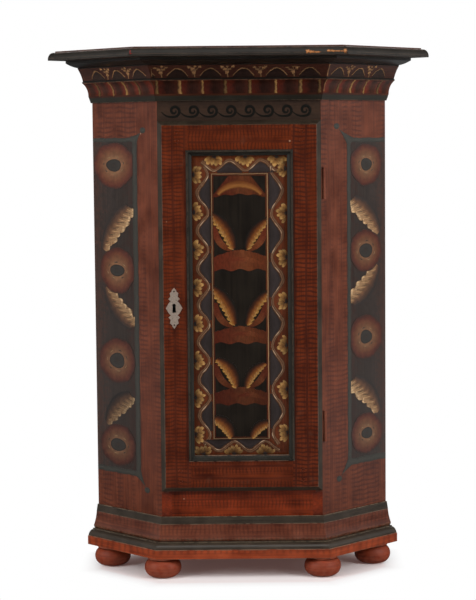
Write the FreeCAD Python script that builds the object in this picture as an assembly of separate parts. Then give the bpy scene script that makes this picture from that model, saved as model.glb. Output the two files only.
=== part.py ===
import FreeCAD, Part
import math
import os

# Painted corner cabinet, in millimetres, +Z up, front towards -Y.
# The plan is drawn with the face of the front boards at y = 0 and the room's corner at +Y.
# The finished pieces are then moved so that the origin is on the floor, under the cabinet's middle.

V = FreeCAD.Vector

# Body
TOTAL_HEIGHT = 1060.0
FRONT_WIDTH = 325.0            # between the two front arrises
SIDE_BOARD_WIDTH = 196.0       # each side board stands at 45 degrees to the front
SIDE_THICKNESS = 20.0
FRONT_THICKNESS = 20.0
BACK_THICKNESS = 16.0
BACK_REBATE = 10.0             # how far the back planks reach behind the side boards

# Feet
FOOT_HEIGHT = 41.0
FOOT_SOLE_RADIUS = 21.0
FOOT_SHOULDER_RADIUS = 29.0
FOOT_BELLY = 12.0              # swell of the round side past the line from sole to shoulder
FOOT_GROOVE_RADIUS = 26.0
FOOT_GROOVE_HEIGHT = 2.5
FOOT_COLLAR_RADIUS = 31.0
FOOT_COLLAR_HEIGHT = 3.5
FOOT_TENON_RADIUS = 11.0
FOOT_TENON_LENGTH = 22.0
FOOT_SETBACK = 2.0             # from the front and side faces to the foot's middle
FOOT_END_INSET = 41.0          # from the wall to the middle of an outer foot
REAR_FOOT_INSET = 75.0         # from the back corner to the middle of the rear foot
TENON_CLEARANCE = 0.1

# Base board and plinth moulding
BASE_THICKNESS = 32.0
BASE_OVERHANG = 31.0
FASCIA_HEIGHT = 18.0
BASE_STEP = 1.5
BASE_ROUND_WIDTH = 12.5
BASE_ROUND_RISE = 3.0
BASE_TOP_EDGE = 2.0
PLINTH_HEIGHT = 49.0
PLINTH_TOE = 11.0
PLINTH_TOE_HEIGHT = 6.0
PLINTH_TOE_RISE = 0.8
PLINTH_FLARE = 14.0
PLINTH_HOLLOW = 1.4
PLINTH_BEVEL_FOOT = 6.0
PLINTH_BEVEL_HEIGHT = 15.0
PLINTH_TOP_WIDTH = 3.0

# Cornice
CROWN_HEIGHT = 71.0
CROWN_FOOT = 4.0
CROWN_BEVEL_OUT = 10.0
CROWN_BEVEL_HEIGHT = 13.0
CROWN_COVE_OUT = 26.0
CROWN_COVE_HEIGHT = 27.0
CROWN_COVE_HOLLOW = 4.4
CROWN_FILLET = 3.0
CROWN_STEP = 2.0
CROWN_TOP_OUT = 37.5
CROWN_UPPER_HOLLOW = 1.5
CROWN_LIP = 2.0
BED_HEIGHT = 13.0
BED_FOOT = 40.0
BED_ROUND_OUT = 68.0
BED_ROUND_HEIGHT = 8.0
BED_ROUND_RISE = 1.0
BED_FILLET = 1.0
TOP_THICKNESS = 19.0
TOP_OVERHANG = 115.0
TOP_NOSE_FLAT = 4.0
TOP_ROUND_WIDTH = 18.0
TOP_ROUND_RISE = 4.5
TOP_FILLET = 3.0
TOP_FILLET_STEP = 1.5

# Inside
FLOOR_THICKNESS = 20.0
FLOOR_HOUSING = 6.0
SHELF_THICKNESS = 16.0
SHELF_FRONT = 45.0
SHELF_GAP = 1.0
CLEAT_THICKNESS = 15.0
CLEAT_HEIGHT = 20.0
CLEAT_SETBACK = 5.0
HANGING_HOLE_RADIUS = 6.0
HANGING_HOLE_DROP = 190.0      # below the top board
HANGING_HOLE_INSET = 110.0     # from the side board's outer face, along the wall

# Door
FRIEZE_SHOWN = 39.0            # frieze seen between door and crown moulding
RAIL_SHOWN = 54.0              # rail seen between door and plinth moulding
DOOR_REVEAL = 0.5              # the door is this much narrower than the front at each side
DOOR_LAP = 10.0                # the door covers the opening by this much at top and bottom
DOOR_GAP = 0.5                 # between the closed door and the front boards
DOOR_THICKNESS = 22.0
DOOR_CHAMFER = 9.5
STILE_WIDTH = 60.0
TOP_RAIL_WIDTH = 62.0
BOTTOM_RAIL_WIDTH = 66.0
TENON_STOP = 18.0              # wood left beyond the end of a rail's tenon
TENON_THICKNESS = 8.0
TENON_SHOULDER = 13.0
PEG_RADIUS = 3.5
PEG_CLEARANCE = 0.05
GROOVE_DEPTH = 10.0
PANEL_BACK_SET = 4.5
PANEL_TONGUE = 7.0
PANEL_PLAY = 1.0               # left in the groove for the panel to swell
PANEL_CLEARANCE = 0.2
PANEL_FIELD_SET = 2.5          # field behind the face of the frame
PANEL_SHOULDER = 2.0
PANEL_BEVEL_SIDE = 38.0
PANEL_BEVEL_TOP = 35.0
PANEL_BEVEL_BOTTOM = 33.0
MOULD_WIDTH = 11.5
MOULD_LIP = 4.0
MOULD_PROUD = 3.5
MOULD_EDGE = 1.5
MOULD_ROUND_RISE = 1.6
MOULD_FACE = 5.0               # depth of the moulding's inner face

# Hinges
HINGE_INSET = 127.0            # from the door's ends to the middle of a hinge
HINGE_LENGTH = 60.0
LEAF_THICKNESS = 1.5
LEAF_CLEARANCE = 0.1
LEAF_MARGIN = 2.0
DOOR_LEAF_WIDTH = 30.0
KNUCKLE_RADIUS = 3.5
KNUCKLE_CLEARANCE = 0.6        # between a knuckle and the side board
KNUCKLE_LENGTH = 24.0          # the door leaf's middle knuckle
KNUCKLE_GAP = 0.4
HINGE_PIN_RADIUS = 1.6
HINGE_PIN_CLEARANCE = 0.05
HINGE_PIN_HEAD_RADIUS = 2.8
HINGE_PIN_HEAD_HEIGHT = 2.5
HINGE_PIN_HEAD_SWELL = 0.5

# Nails
NAIL_RADIUS = 1.1
NAIL_LENGTH = 12.0
NAIL_HEAD_RADIUS = 2.2
NAIL_HEAD_THICKNESS = 0.8
NAIL_CLEARANCE = 0.05
LEAF_NAIL_SPREAD = 20.0
BACK_NAIL_RADIUS = 1.5
BACK_NAIL_LENGTH = 40.0
BACK_NAIL_HEAD_RADIUS = 3.5
BACK_NAIL_HEAD_THICKNESS = 1.5
BACK_NAIL_COUNT = 5
BACK_NAIL_END = 90.0           # from the ends of a side board to the outermost nails

# Lock
LOCK_WIDTH = 42.0
LOCK_HEIGHT = 76.0
LOCK_WALL = 1.5
LOCK_GAP = 2.4                 # between the lock case and the side board
LOCK_ROOM = 2.0                # behind the bolt
LOCK_FLANGE = 10.0
LOCK_NAIL_SPREAD = 6.0
KEY_TIP_RADIUS = 2.6
BOLT_THICKNESS = 6.0
BOLT_HEIGHT = 14.0
BOLT_LENGTH = 38.0
BOLT_THROW = 8.0
BOLT_FIT = 0.3
BOLT_ABOVE_KEY = 9.0
BOLT_NOTCH_WIDTH = 10.0
BOLT_NOTCH_HEIGHT = 4.0
STUD_RADIUS = 2.0
STUD_FROM_KEY = 10.5
STUD_ABOVE_BOLT_FOOT = 9.0
STUD_PLAY = 0.2
SPRING_THICKNESS = 0.8
SPRING_WIDTH = 5.0
SPRING_SPAN = 26.0
SPRING_GAP = 0.4
KEEP_THICKNESS = 1.5
KEEP_HEIGHT = 40.0
KEEP_MARGIN = 1.5
KEEP_POCKET_SPARE = 1.5
KEEP_PLAY = 0.9                # round the thrown bolt
KEEP_NAIL_SPREAD = 14.0

# Escutcheon
PLATE_THICKNESS = 1.2
PLATE_OUTLINE = [(0, 41.0), (4.5, 35.5), (4.0, 34.0), (8.7, 30.0), (7.2, 23.0), (11.5, 18.5), (6.5, 14.0),
                 (10.0, 11.0), (16.5, 0)]   # one quarter, from the top point to the side point
PLATE_PIN_HEIGHT = 33.5
PLATE_PIN_RADIUS = 0.9
PLATE_PIN_LENGTH = 9.0
PLATE_PIN_HEAD_RADIUS = 1.7
PLATE_PIN_HEAD_RISE = 0.9
PLATE_PIN_HEAD_SWELL = 0.3
KEYHOLE_RADIUS = 3.5
KEYHOLE_EYE = 5.5              # the round eye's middle, above the plate's middle
KEYHOLE_WAIST = 5.0
KEYHOLE_FOOT = 7.5
KEYHOLE_DEPTH = 8.7            # the slot's foot, below the plate's middle

# Places that follow from the sizes above
HALF_FRONT = FRONT_WIDTH / 2
DIAGONAL = math.sqrt(0.5)
MITRE = math.tan(math.radians(22.5))
BODY_DEPTH = HALF_FRONT + 2 * SIDE_BOARD_WIDTH * DIAGONAL
WALL_LENGTH = (HALF_FRONT + SIDE_BOARD_WIDTH * DIAGONAL) / DIAGONAL
MIDDLE_Y = (BODY_DEPTH - TOP_OVERHANG) / 2
FAR = 2 * BODY_DEPTH           # reaches past the cabinet, for cutting
STRIP = SIDE_THICKNESS * DIAGONAL   # width and depth of a side board's squared front edge
OPENING_HALF = HALF_FRONT - STRIP

BASE_BOTTOM = FOOT_HEIGHT
CARCASS_BOTTOM = BASE_BOTTOM + BASE_THICKNESS
PLINTH_TOP = CARCASS_BOTTOM + PLINTH_HEIGHT
CARCASS_TOP = TOTAL_HEIGHT - TOP_THICKNESS
CROWN_TOP = CARCASS_TOP - BED_HEIGHT
CROWN_BOTTOM = CROWN_TOP - CROWN_HEIGHT

DOOR_HALF = HALF_FRONT - DOOR_REVEAL
DOOR_BOTTOM = PLINTH_TOP + RAIL_SHOWN
DOOR_TOP = CROWN_BOTTOM - FRIEZE_SHOWN
DOOR_MIDDLE = (DOOR_BOTTOM + DOOR_TOP) / 2
DOOR_BACK = -DOOR_GAP
DOOR_FRONT = DOOR_BACK - DOOR_THICKNESS
OPENING_BOTTOM = DOOR_BOTTOM + DOOR_LAP
OPENING_TOP = DOOR_TOP - DOOR_LAP
FRAME_HALF = DOOR_HALF - STILE_WIDTH          # the hole in the door's frame
FRAME_BOTTOM = DOOR_BOTTOM + BOTTOM_RAIL_WIDTH
FRAME_TOP = DOOR_TOP - TOP_RAIL_WIDTH
PANEL_BACK = DOOR_BACK - PANEL_BACK_SET
TENON_LENGTH = STILE_WIDTH - TENON_STOP

SHELF_STEP = (OPENING_TOP - OPENING_BOTTOM) / 3
SHELF_BOTTOMS = {"lower": OPENING_BOTTOM + SHELF_STEP, "upper": OPENING_BOTTOM + 2 * SHELF_STEP}

HINGE_X = HALF_FRONT + (KNUCKLE_RADIUS + KNUCKLE_CLEARANCE) / DIAGONAL - DOOR_GAP / 2
HINGE_Y = -DOOR_GAP / 2
HINGE_MIDDLES = {"upper": DOOR_TOP - HINGE_INSET, "lower": DOOR_BOTTOM + HINGE_INSET}

KEY_X = -DOOR_HALF + STILE_WIDTH / 2
KEY_Z = DOOR_MIDDLE + KEYHOLE_EYE
LOCK_LEFT = -OPENING_HALF + LOCK_GAP
BOLT_Y = STRIP / 2
BOLT_BOTTOM = KEY_Z + BOLT_ABOVE_KEY
BOLT_MIDDLE = BOLT_BOTTOM + BOLT_HEIGHT / 2
LOCK_REAR = BOLT_Y + BOLT_THICKNESS / 2 + LOCK_ROOM + LOCK_WALL
STUD_X = KEY_X + STUD_FROM_KEY


# Drawing helpers

def box(x_range, y_range, z_range):
    """Box between pairs of limits."""
    size = [high - low for low, high in (x_range, y_range, z_range)]
    return Part.makeBox(*size, V(x_range[0], y_range[0], z_range[0]))


def prism(points, bottom, top):
    """Upright prism over a plan outline."""
    corners = [V(x, y, bottom) for x, y in points]
    return Part.Face(Part.makePolygon(corners + corners[:1])).extrude(V(0, 0, top - bottom))


def front_prism(points, front, back):
    """Prism that runs from front to back behind an outline of (x, z) points."""
    corners = [V(x, front, z) for x, z in points]
    return Part.Face(Part.makePolygon(corners + corners[:1])).extrude(V(0, back - front, 0))


def mirrored(shape):
    """The same shape on the other side of the cabinet's middle plane."""
    return shape.mirror(V(0, 0, 0), V(1, 0, 0))


def on_side(side, shape):
    """A right-hand shape as it is, or mirrored for the left."""
    return shape if side == "right" else mirrored(shape)


def fused(shapes):
    """One solid out of several that meet."""
    return shapes[0].fuse(shapes[1:]).removeSplitter().Solids[0]


def cut_away(shape, cutters):
    """The solid left when the cutters are taken out of a shape."""
    return shape.cut(cutters).Solids[0]


def edge_between(start, end, rise, place):
    """Straight edge, or an arc that stands out by the rise to the right of the way it is drawn."""
    if rise == 0:
        return Part.LineSegment(place(*start), place(*end)).toShape()
    across = end[0] - start[0]
    up = end[1] - start[1]
    length = math.hypot(across, up)
    middle_across = (start[0] + end[0]) / 2 + rise * up / length
    middle_up = (start[1] + end[1]) / 2 - rise * across / length
    return Part.Arc(place(*start), place(middle_across, middle_up), place(*end)).toShape()


def outline_face(points, place):
    """Flat face in an outline of (across, up) points; a third number is the rise of the arc to that point."""
    edges = []
    for index, point in enumerate(points):
        rise = point[2] if len(point) > 2 else 0
        edges.append(edge_between(points[index - 1][:2], point[:2], rise, place))
    return Part.Face(Part.Wire(edges))


def turned(points, at, direction):
    """Solid turned from a (radius, along) outline, standing at a point and pointing along a direction."""
    face = outline_face(points, lambda radius, along: V(radius, 0, along))
    solid = face.revolve(V(0, 0, 0), V(0, 0, 1), 360)
    solid.Placement = FreeCAD.Placement(at, FreeCAD.Rotation(V(0, 0, 1), direction))
    return solid


# Plan of the cabinet

def front_corner(side, out):
    """Plan point of a front arris, for a face that stands out from the boards."""
    return (side * (HALF_FRONT + out * MITRE), -out)


def wall_corner(out):
    """Plan point where the right-hand side's face, standing out from the board, meets the wall."""
    along = SIDE_BOARD_WIDTH * DIAGONAL
    return (HALF_FRONT + along + out * DIAGONAL, along - out * DIAGONAL)


def side_plan(along, inward):
    """Plan point on the right: along the side board from its arris, and inward from its outer face."""
    return (HALF_FRONT + (along - inward) * DIAGONAL, (along + inward) * DIAGONAL)


def side_box(along, inward, heights):
    """Upright block between limits measured along and inward from the right-hand side board."""
    corners = [(along[0], inward[0]), (along[1], inward[0]), (along[1], inward[1]), (along[0], inward[1])]
    return prism([side_plan(*corner) for corner in corners], *heights)


def inner_plan(front, side_inward, back_inward):
    """Five-sided plan inside the cabinet, with straight front, two sides and two backs."""
    back_along = SIDE_BOARD_WIDTH - back_inward
    right = [side_plan(front / DIAGONAL - side_inward, side_inward), side_plan(back_along, side_inward)]
    left = [(-x, y) for x, y in reversed(right)]
    return right + [(0, BODY_DEPTH - back_inward / DIAGONAL)] + left


# Mouldings

def straight_run(section):
    """Section of (out, up) points drawn along X on the front face, past both ends of the cabinet."""
    face = outline_face(section, lambda out, up: V(-FAR, -out, up))
    return face.extrude(V(2 * FAR, 0, 0))


def turned_to_side(shape):
    """A front run carried round to the right-hand side board."""
    turned_run = shape.copy()
    turned_run.rotate(V(0, 0, 0), V(0, 0, 1), 45)
    turned_run.translate(V(HALF_FRONT, 0, 0))
    return turned_run


def mitred_runs(name, section, bottom, top):
    """Front, right and left lengths of one moulding, mitred at the arrises and square at the walls."""
    run = straight_run(section)
    front_zone = [front_corner(-1, 0), front_corner(1, 0), front_corner(1, FAR), front_corner(-1, FAR)]
    side_zone = [front_corner(1, 0), wall_corner(0), wall_corner(FAR), front_corner(1, FAR)]
    front = run.common(prism(front_zone, bottom, top)).Solids[0]
    right = turned_to_side(run).common(prism(side_zone, bottom, top)).Solids[0]
    return {f"{name}_front": front, f"{name}_right": right, f"{name}_left": mirrored(right)}


def moulded_board(edge):
    """Board that fills the plan, with a moulded edge on its front and sides and plain edges at the walls."""
    bottom = edge[0][1]
    top = edge[-1][1]
    inside = straight_run(edge + [(-FAR, top), (-FAR, bottom)])
    right = turned_to_side(inside)
    walls = prism([(0, BODY_DEPTH), (-BODY_DEPTH - FAR, -FAR), (BODY_DEPTH + FAR, -FAR)], bottom, top)
    return inside.common(right).common(mirrored(right)).common(walls).Solids[0]


def plinth_mouldings():
    """Flared plinth moulding with a bevelled top, on the base board."""
    bevel_foot = PLINTH_TOP - PLINTH_BEVEL_HEIGHT
    section = [
        (0, CARCASS_BOTTOM),
        (PLINTH_TOE, CARCASS_BOTTOM),
        (PLINTH_FLARE, CARCASS_BOTTOM + PLINTH_TOE_HEIGHT, PLINTH_TOE_RISE),
        (PLINTH_BEVEL_FOOT, bevel_foot, -PLINTH_HOLLOW),
        (PLINTH_TOP_WIDTH, PLINTH_TOP),
        (0, PLINTH_TOP),
    ]
    return mitred_runs("plinth_moulding", section, CARCASS_BOTTOM, PLINTH_TOP)


def crown_mouldings():
    """Crown moulding: bevel, deep cove, fillet and a flatter upper cove."""
    cove_foot = CROWN_BOTTOM + CROWN_BEVEL_HEIGHT
    cove_top = cove_foot + CROWN_COVE_HEIGHT
    section = [
        (0, CROWN_BOTTOM),
        (CROWN_FOOT, CROWN_BOTTOM),
        (CROWN_BEVEL_OUT, cove_foot),
        (CROWN_COVE_OUT, cove_top, -CROWN_COVE_HOLLOW),
        (CROWN_COVE_OUT, cove_top + CROWN_FILLET),
        (CROWN_COVE_OUT - CROWN_STEP, cove_top + CROWN_FILLET),
        (CROWN_TOP_OUT, CROWN_TOP - CROWN_LIP, -CROWN_UPPER_HOLLOW),
        (CROWN_TOP_OUT, CROWN_TOP),
        (0, CROWN_TOP),
    ]
    return mitred_runs("crown_moulding", section, CROWN_BOTTOM, CROWN_TOP)


def bed_mouldings():
    """Shallow bed moulding between crown moulding and top board."""
    round_top = CROWN_TOP + BED_ROUND_HEIGHT
    section = [
        (0, CROWN_TOP),
        (BED_FOOT, CROWN_TOP),
        (BED_ROUND_OUT, round_top, BED_ROUND_RISE),
        (BED_ROUND_OUT + BED_FILLET, round_top),
        (BED_ROUND_OUT + BED_FILLET, CARCASS_TOP),
        (0, CARCASS_TOP),
    ]
    return mitred_runs("bed_moulding", section, CROWN_TOP, CARCASS_TOP)


def top_board():
    """Top board with a rounded nose and a thin fillet."""
    round_end = TOP_OVERHANG - TOP_ROUND_WIDTH
    edge = [
        (TOP_OVERHANG, CARCASS_TOP),
        (TOP_OVERHANG, CARCASS_TOP + TOP_NOSE_FLAT),
        (round_end, TOTAL_HEIGHT - TOP_FILLET, TOP_ROUND_RISE),
        (round_end - TOP_FILLET_STEP, TOTAL_HEIGHT - TOP_FILLET),
        (round_end - TOP_FILLET_STEP, TOTAL_HEIGHT),
    ]
    return {"top_board": moulded_board(edge)}


# Feet and base

def foot_places():
    """Plan middles of the five feet."""
    front = front_corner(1, -FOOT_SETBACK)
    outer = side_plan(SIDE_BOARD_WIDTH - FOOT_END_INSET, FOOT_SETBACK)
    return {
        "foot_front_left": (-front[0], front[1]),
        "foot_front_right": front,
        "foot_side_left": (-outer[0], outer[1]),
        "foot_side_right": outer,
        "foot_rear": (0, BODY_DEPTH - REAR_FOOT_INSET),
    }


def feet():
    """Turned bun feet, each with a round tenon for the base board."""
    collar_foot = FOOT_HEIGHT - FOOT_COLLAR_HEIGHT
    shoulder = collar_foot - FOOT_GROOVE_HEIGHT
    outline = [
        (0, 0),
        (FOOT_SOLE_RADIUS, 0),
        (FOOT_SHOULDER_RADIUS, shoulder, FOOT_BELLY),
        (FOOT_GROOVE_RADIUS, shoulder),
        (FOOT_GROOVE_RADIUS, collar_foot),
        (FOOT_COLLAR_RADIUS, collar_foot),
        (FOOT_COLLAR_RADIUS, FOOT_HEIGHT),
        (FOOT_TENON_RADIUS, FOOT_HEIGHT),
        (FOOT_TENON_RADIUS, FOOT_HEIGHT + FOOT_TENON_LENGTH),
        (0, FOOT_HEIGHT + FOOT_TENON_LENGTH),
    ]
    return {name: turned(outline, V(x, y, 0), V(0, 0, 1)) for name, (x, y) in foot_places().items()}


def base_board():
    """Base board with fascia and rounded edge, bored for the feet."""
    fascia_top = BASE_BOTTOM + FASCIA_HEIGHT
    round_foot = BASE_OVERHANG - BASE_STEP
    edge = [
        (BASE_OVERHANG, BASE_BOTTOM),
        (BASE_OVERHANG, fascia_top),
        (round_foot, fascia_top),
        (round_foot - BASE_ROUND_WIDTH, CARCASS_BOTTOM - BASE_TOP_EDGE, BASE_ROUND_RISE),
        (round_foot - BASE_ROUND_WIDTH, CARCASS_BOTTOM),
    ]
    radius = FOOT_TENON_RADIUS + TENON_CLEARANCE
    depth = FOOT_TENON_LENGTH + TENON_CLEARANCE
    bores = [Part.makeCylinder(radius, depth, V(x, y, BASE_BOTTOM)) for x, y in foot_places().values()]
    return {"base_board": cut_away(moulded_board(edge), bores)}


# Nails

def headed_outline(radius, length, head_radius, head_thickness):
    """Outline of a nail with a flat head, from the top of the head to the tip."""
    head = [(0, 0), (head_radius, 0), (head_radius, head_thickness)]
    return head + [(radius, head_thickness), (radius, length), (0, length)]


def small_nail(at, into, grow=0.0):
    """Flush-headed nail for the ironwork; grown, it is the space that the nail takes."""
    outline = headed_outline(NAIL_RADIUS + grow, NAIL_LENGTH + grow, NAIL_HEAD_RADIUS + grow,
                             NAIL_HEAD_THICKNESS)
    return turned(outline, at, into)


def nail_group(places):
    """Several nails as one group of separate solids."""
    return Part.makeCompound([small_nail(at, into) for at, into in places])


def nail_spaces(places):
    """Holes for a list of nails."""
    return [small_nail(at, into, NAIL_CLEARANCE) for at, into in places]


def frame_leaf_nails():
    """Nails of the hinges' frame leaves, driven back into the right side board."""
    x = HALF_FRONT - (STRIP - LEAF_MARGIN) / 2
    steps = (-LEAF_NAIL_SPREAD, LEAF_NAIL_SPREAD)
    heights = [middle + step for middle in HINGE_MIDDLES.values() for step in steps]
    return [(V(x, 0, z), V(0, 1, 0)) for z in heights]


def door_leaf_nails():
    """Nails of the hinges' door leaves, driven forward into the hinge stile."""
    x = DOOR_HALF - DOOR_LEAF_WIDTH / 2
    steps = (-LEAF_NAIL_SPREAD, 0, LEAF_NAIL_SPREAD)
    heights = [middle + step for middle in HINGE_MIDDLES.values() for step in steps]
    return [(V(x, DOOR_BACK, z), V(0, -1, 0)) for z in heights]


def lock_nails():
    """Nails through the lock case's flanges into the lock stile."""
    reach = LOCK_HEIGHT / 2 + LOCK_FLANGE / 2
    surface = DOOR_BACK + LOCK_WALL
    columns = (KEY_X - LOCK_NAIL_SPREAD, KEY_X + LOCK_NAIL_SPREAD)
    rows = (DOOR_MIDDLE - reach, DOOR_MIDDLE + reach)
    return [(V(x, surface, z), V(0, -1, 0)) for x in columns for z in rows]


def keep_nails():
    """Nails of the keep plate, driven into the left side board."""
    heights = (BOLT_MIDDLE - KEEP_NAIL_SPREAD, BOLT_MIDDLE + KEEP_NAIL_SPREAD)
    return [(V(-OPENING_HALF, BOLT_Y, z), V(-1, 0, 0)) for z in heights]


def back_nail(height, grow=0.0):
    """Flush nail through a right-hand back plank into the side board's rebate."""
    outline = headed_outline(BACK_NAIL_RADIUS + grow, BACK_NAIL_LENGTH + grow, BACK_NAIL_HEAD_RADIUS + grow,
                             BACK_NAIL_HEAD_THICKNESS)
    x, y = side_plan(SIDE_BOARD_WIDTH, (BACK_REBATE + SIDE_THICKNESS) / 2)
    return turned(outline, V(x, y, height), V(-1, -1, 0))


def back_nail_heights():
    """Evenly spaced nail heights up a side board."""
    low = CARCASS_BOTTOM + BACK_NAIL_END
    step = (CARCASS_TOP - BACK_NAIL_END - low) / (BACK_NAIL_COUNT - 1)
    return [low + index * step for index in range(BACK_NAIL_COUNT)]


def back_nails():
    """Both rows of back nails."""
    right = [back_nail(height) for height in back_nail_heights()]
    return {"back_nails": Part.makeCompound(right + [mirrored(nail) for nail in right])}


# Carcass

def floor_plan():
    """Plan of the cabinet floor, housed into the side boards."""
    return inner_plan(FRONT_THICKNESS, SIDE_THICKNESS - FLOOR_HOUSING, BACK_THICKNESS)


def cabinet_floor():
    """Floor level with the top of the bottom rail."""
    return prism(floor_plan(), OPENING_BOTTOM - FLOOR_THICKNESS, OPENING_BOTTOM)


def side_board_blank():
    """Right-hand side board: squared at the front, rebated for the back planks, housed for the floor."""
    back = SIDE_BOARD_WIDTH - BACK_THICKNESS
    plan = [
        side_plan(0, 0),
        side_plan(SIDE_BOARD_WIDTH, 0),
        side_plan(SIDE_BOARD_WIDTH, BACK_REBATE),
        side_plan(back, BACK_REBATE),
        side_plan(back, SIDE_THICKNESS),
        side_plan(0, SIDE_THICKNESS),
        (OPENING_HALF, 0),
    ]
    nails = [back_nail(height, NAIL_CLEARANCE) for height in back_nail_heights()]
    return cut_away(prism(plan, CARCASS_BOTTOM, CARCASS_TOP), [cabinet_floor()] + nails)


def side_boards():
    """Side boards, let in for the hinges on the right and for the lock's keep on the left."""
    leaves = [frame_leaf_plate(middle, LEAF_CLEARANCE) for middle in HINGE_MIDDLES.values()]
    right = cut_away(side_board_blank(), leaves + nail_spaces(frame_leaf_nails()))
    left = cut_away(mirrored(side_board_blank()), [keep_plate(), keep_slot()] + nail_spaces(keep_nails()))
    return {"side_board_right": right, "side_board_left": left}


def front_boards():
    """Frieze board above the door opening and bottom rail below it."""
    x_range = (-OPENING_HALF, OPENING_HALF)
    y_range = (0, FRONT_THICKNESS)
    return {
        "frieze_board": box(x_range, y_range, (OPENING_TOP, CARCASS_TOP)),
        "bottom_rail": box(x_range, y_range, (CARCASS_BOTTOM, OPENING_BOTTOM)),
    }


def back_planks():
    """Two planks to each wall; the right wall runs into the corner, and the left wall butts against it."""
    along = (SIDE_BOARD_WIDTH - BACK_THICKNESS, SIDE_BOARD_WIDTH)
    heights = (CARCASS_BOTTOM, CARCASS_TOP)
    seam = WALL_LENGTH / 2
    nails = [back_nail(height, NAIL_CLEARANCE) for height in back_nail_heights()]
    x, y = side_plan(SIDE_BOARD_WIDTH, HANGING_HOLE_INSET)
    hole_at = V(x, y, CARCASS_TOP - HANGING_HOLE_DROP)
    hole = Part.makeCylinder(HANGING_HOLE_RADIUS, BACK_THICKNESS, hole_at, V(-1, -1, 0))
    planks = {}
    for side, end in (("right", WALL_LENGTH), ("left", WALL_LENGTH - BACK_THICKNESS)):
        outer = cut_away(side_box(along, (BACK_REBATE, seam), heights), nails + [hole])
        planks[f"back_plank_{side}_outer"] = on_side(side, outer)
        planks[f"back_plank_{side}_corner"] = on_side(side, side_box(along, (seam, end), heights))
    return planks


def shelves():
    """Two loose shelves, each lying on a cleat at either side."""
    plan = inner_plan(SHELF_FRONT, SIDE_THICKNESS + SHELF_GAP, BACK_THICKNESS + SHELF_GAP)
    start = SHELF_FRONT / DIAGONAL - SIDE_THICKNESS + CLEAT_SETBACK
    along = (start, SIDE_BOARD_WIDTH - BACK_THICKNESS)
    inward = (SIDE_THICKNESS, SIDE_THICKNESS + CLEAT_THICKNESS)
    pieces = {}
    for level, bottom in SHELF_BOTTOMS.items():
        pieces[f"shelf_{level}"] = prism(plan, bottom, bottom + SHELF_THICKNESS)
        cleat = side_box(along, inward, (bottom - CLEAT_HEIGHT, bottom))
        for side in ("left", "right"):
            pieces[f"shelf_cleat_{level}_{side}"] = on_side(side, cleat)
    return pieces


# Door

def door_blank():
    """Space of the whole door, with its chamfered front edges."""
    blank = box((-DOOR_HALF, DOOR_HALF), (DOOR_FRONT, DOOR_BACK), (DOOR_BOTTOM, DOOR_TOP))
    front_edges = [edge for edge in blank.Edges if edge.BoundBox.YMax < DOOR_FRONT + DOOR_CHAMFER]
    return blank.makeChamfer(DOOR_CHAMFER, front_edges)


def panel_space():
    """Groove round the frame's hole in which the panel stands."""
    x_range = (-FRAME_HALF - GROOVE_DEPTH, FRAME_HALF + GROOVE_DEPTH)
    y_range = (PANEL_BACK - PANEL_TONGUE - PANEL_CLEARANCE, PANEL_BACK + PANEL_CLEARANCE)
    return box(x_range, y_range, (FRAME_BOTTOM - GROOVE_DEPTH, FRAME_TOP + GROOVE_DEPTH))


def rail_tenons(bottom, top, grow=0.0):
    """Bar that runs through a rail and out of both its ends as tenons."""
    middle_y = (DOOR_FRONT + DOOR_BACK) / 2
    reach = FRAME_HALF + TENON_LENGTH + grow
    y_range = (middle_y - TENON_THICKNESS / 2 - grow, middle_y + TENON_THICKNESS / 2 + grow)
    return box((-reach, reach), y_range, (bottom + TENON_SHOULDER - grow, top - TENON_SHOULDER + grow))


def pegs(grow=0.0):
    """Two pegs through each of the four joints, flush with both faces of the door."""
    solids = []
    for bottom, top in ((DOOR_BOTTOM, FRAME_BOTTOM), (FRAME_TOP, DOOR_TOP)):
        low = bottom + TENON_SHOULDER
        height = top - bottom - 2 * TENON_SHOULDER
        for x in (-FRAME_HALF - TENON_LENGTH / 2, FRAME_HALF + TENON_LENGTH / 2):
            for share in (1 / 4, 3 / 4):
                at = V(x, DOOR_BACK, low + share * height)
                solids.append(Part.makeCylinder(PEG_RADIUS + grow, DOOR_THICKNESS, at, V(0, -1, 0)))
    return solids


def door_frame():
    """Stiles and rails, mortised and pegged, grooved for the panel and cut for the ironwork."""
    blank = door_blank()
    y_range = (DOOR_FRONT, DOOR_BACK)
    peg_holes = pegs(PEG_CLEARANCE)
    rails = {"door_rail_bottom": (DOOR_BOTTOM, FRAME_BOTTOM), "door_rail_top": (FRAME_TOP, DOOR_TOP)}
    mortises = [rail_tenons(*heights, TENON_CLEARANCE) for heights in rails.values()]
    pieces = {}
    for name, heights in rails.items():
        bar = fused([box((-FRAME_HALF, FRAME_HALF), y_range, heights), rail_tenons(*heights)])
        pieces[name] = cut_away(bar.common(blank), [panel_space()] + peg_holes)
    stile = box((FRAME_HALF, DOOR_HALF), y_range, (DOOR_BOTTOM, DOOR_TOP)).common(blank)
    stile = cut_away(stile, [panel_space()] + mortises + peg_holes)
    leaves = [door_leaf_plate(middle, LEAF_CLEARANCE) for middle in HINGE_MIDDLES.values()]
    pieces["door_stile_hinge"] = cut_away(stile, leaves + nail_spaces(door_leaf_nails()))
    lock_holes = nail_spaces(lock_nails()) + plate_pin_solids(NAIL_CLEARANCE)
    pieces["door_stile_lock"] = cut_away(mirrored(stile), lock_holes + [keyhole(DOOR_FRONT, DOOR_BACK)])
    pieces["door_pegs"] = Part.makeCompound(pegs())
    return pieces


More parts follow.
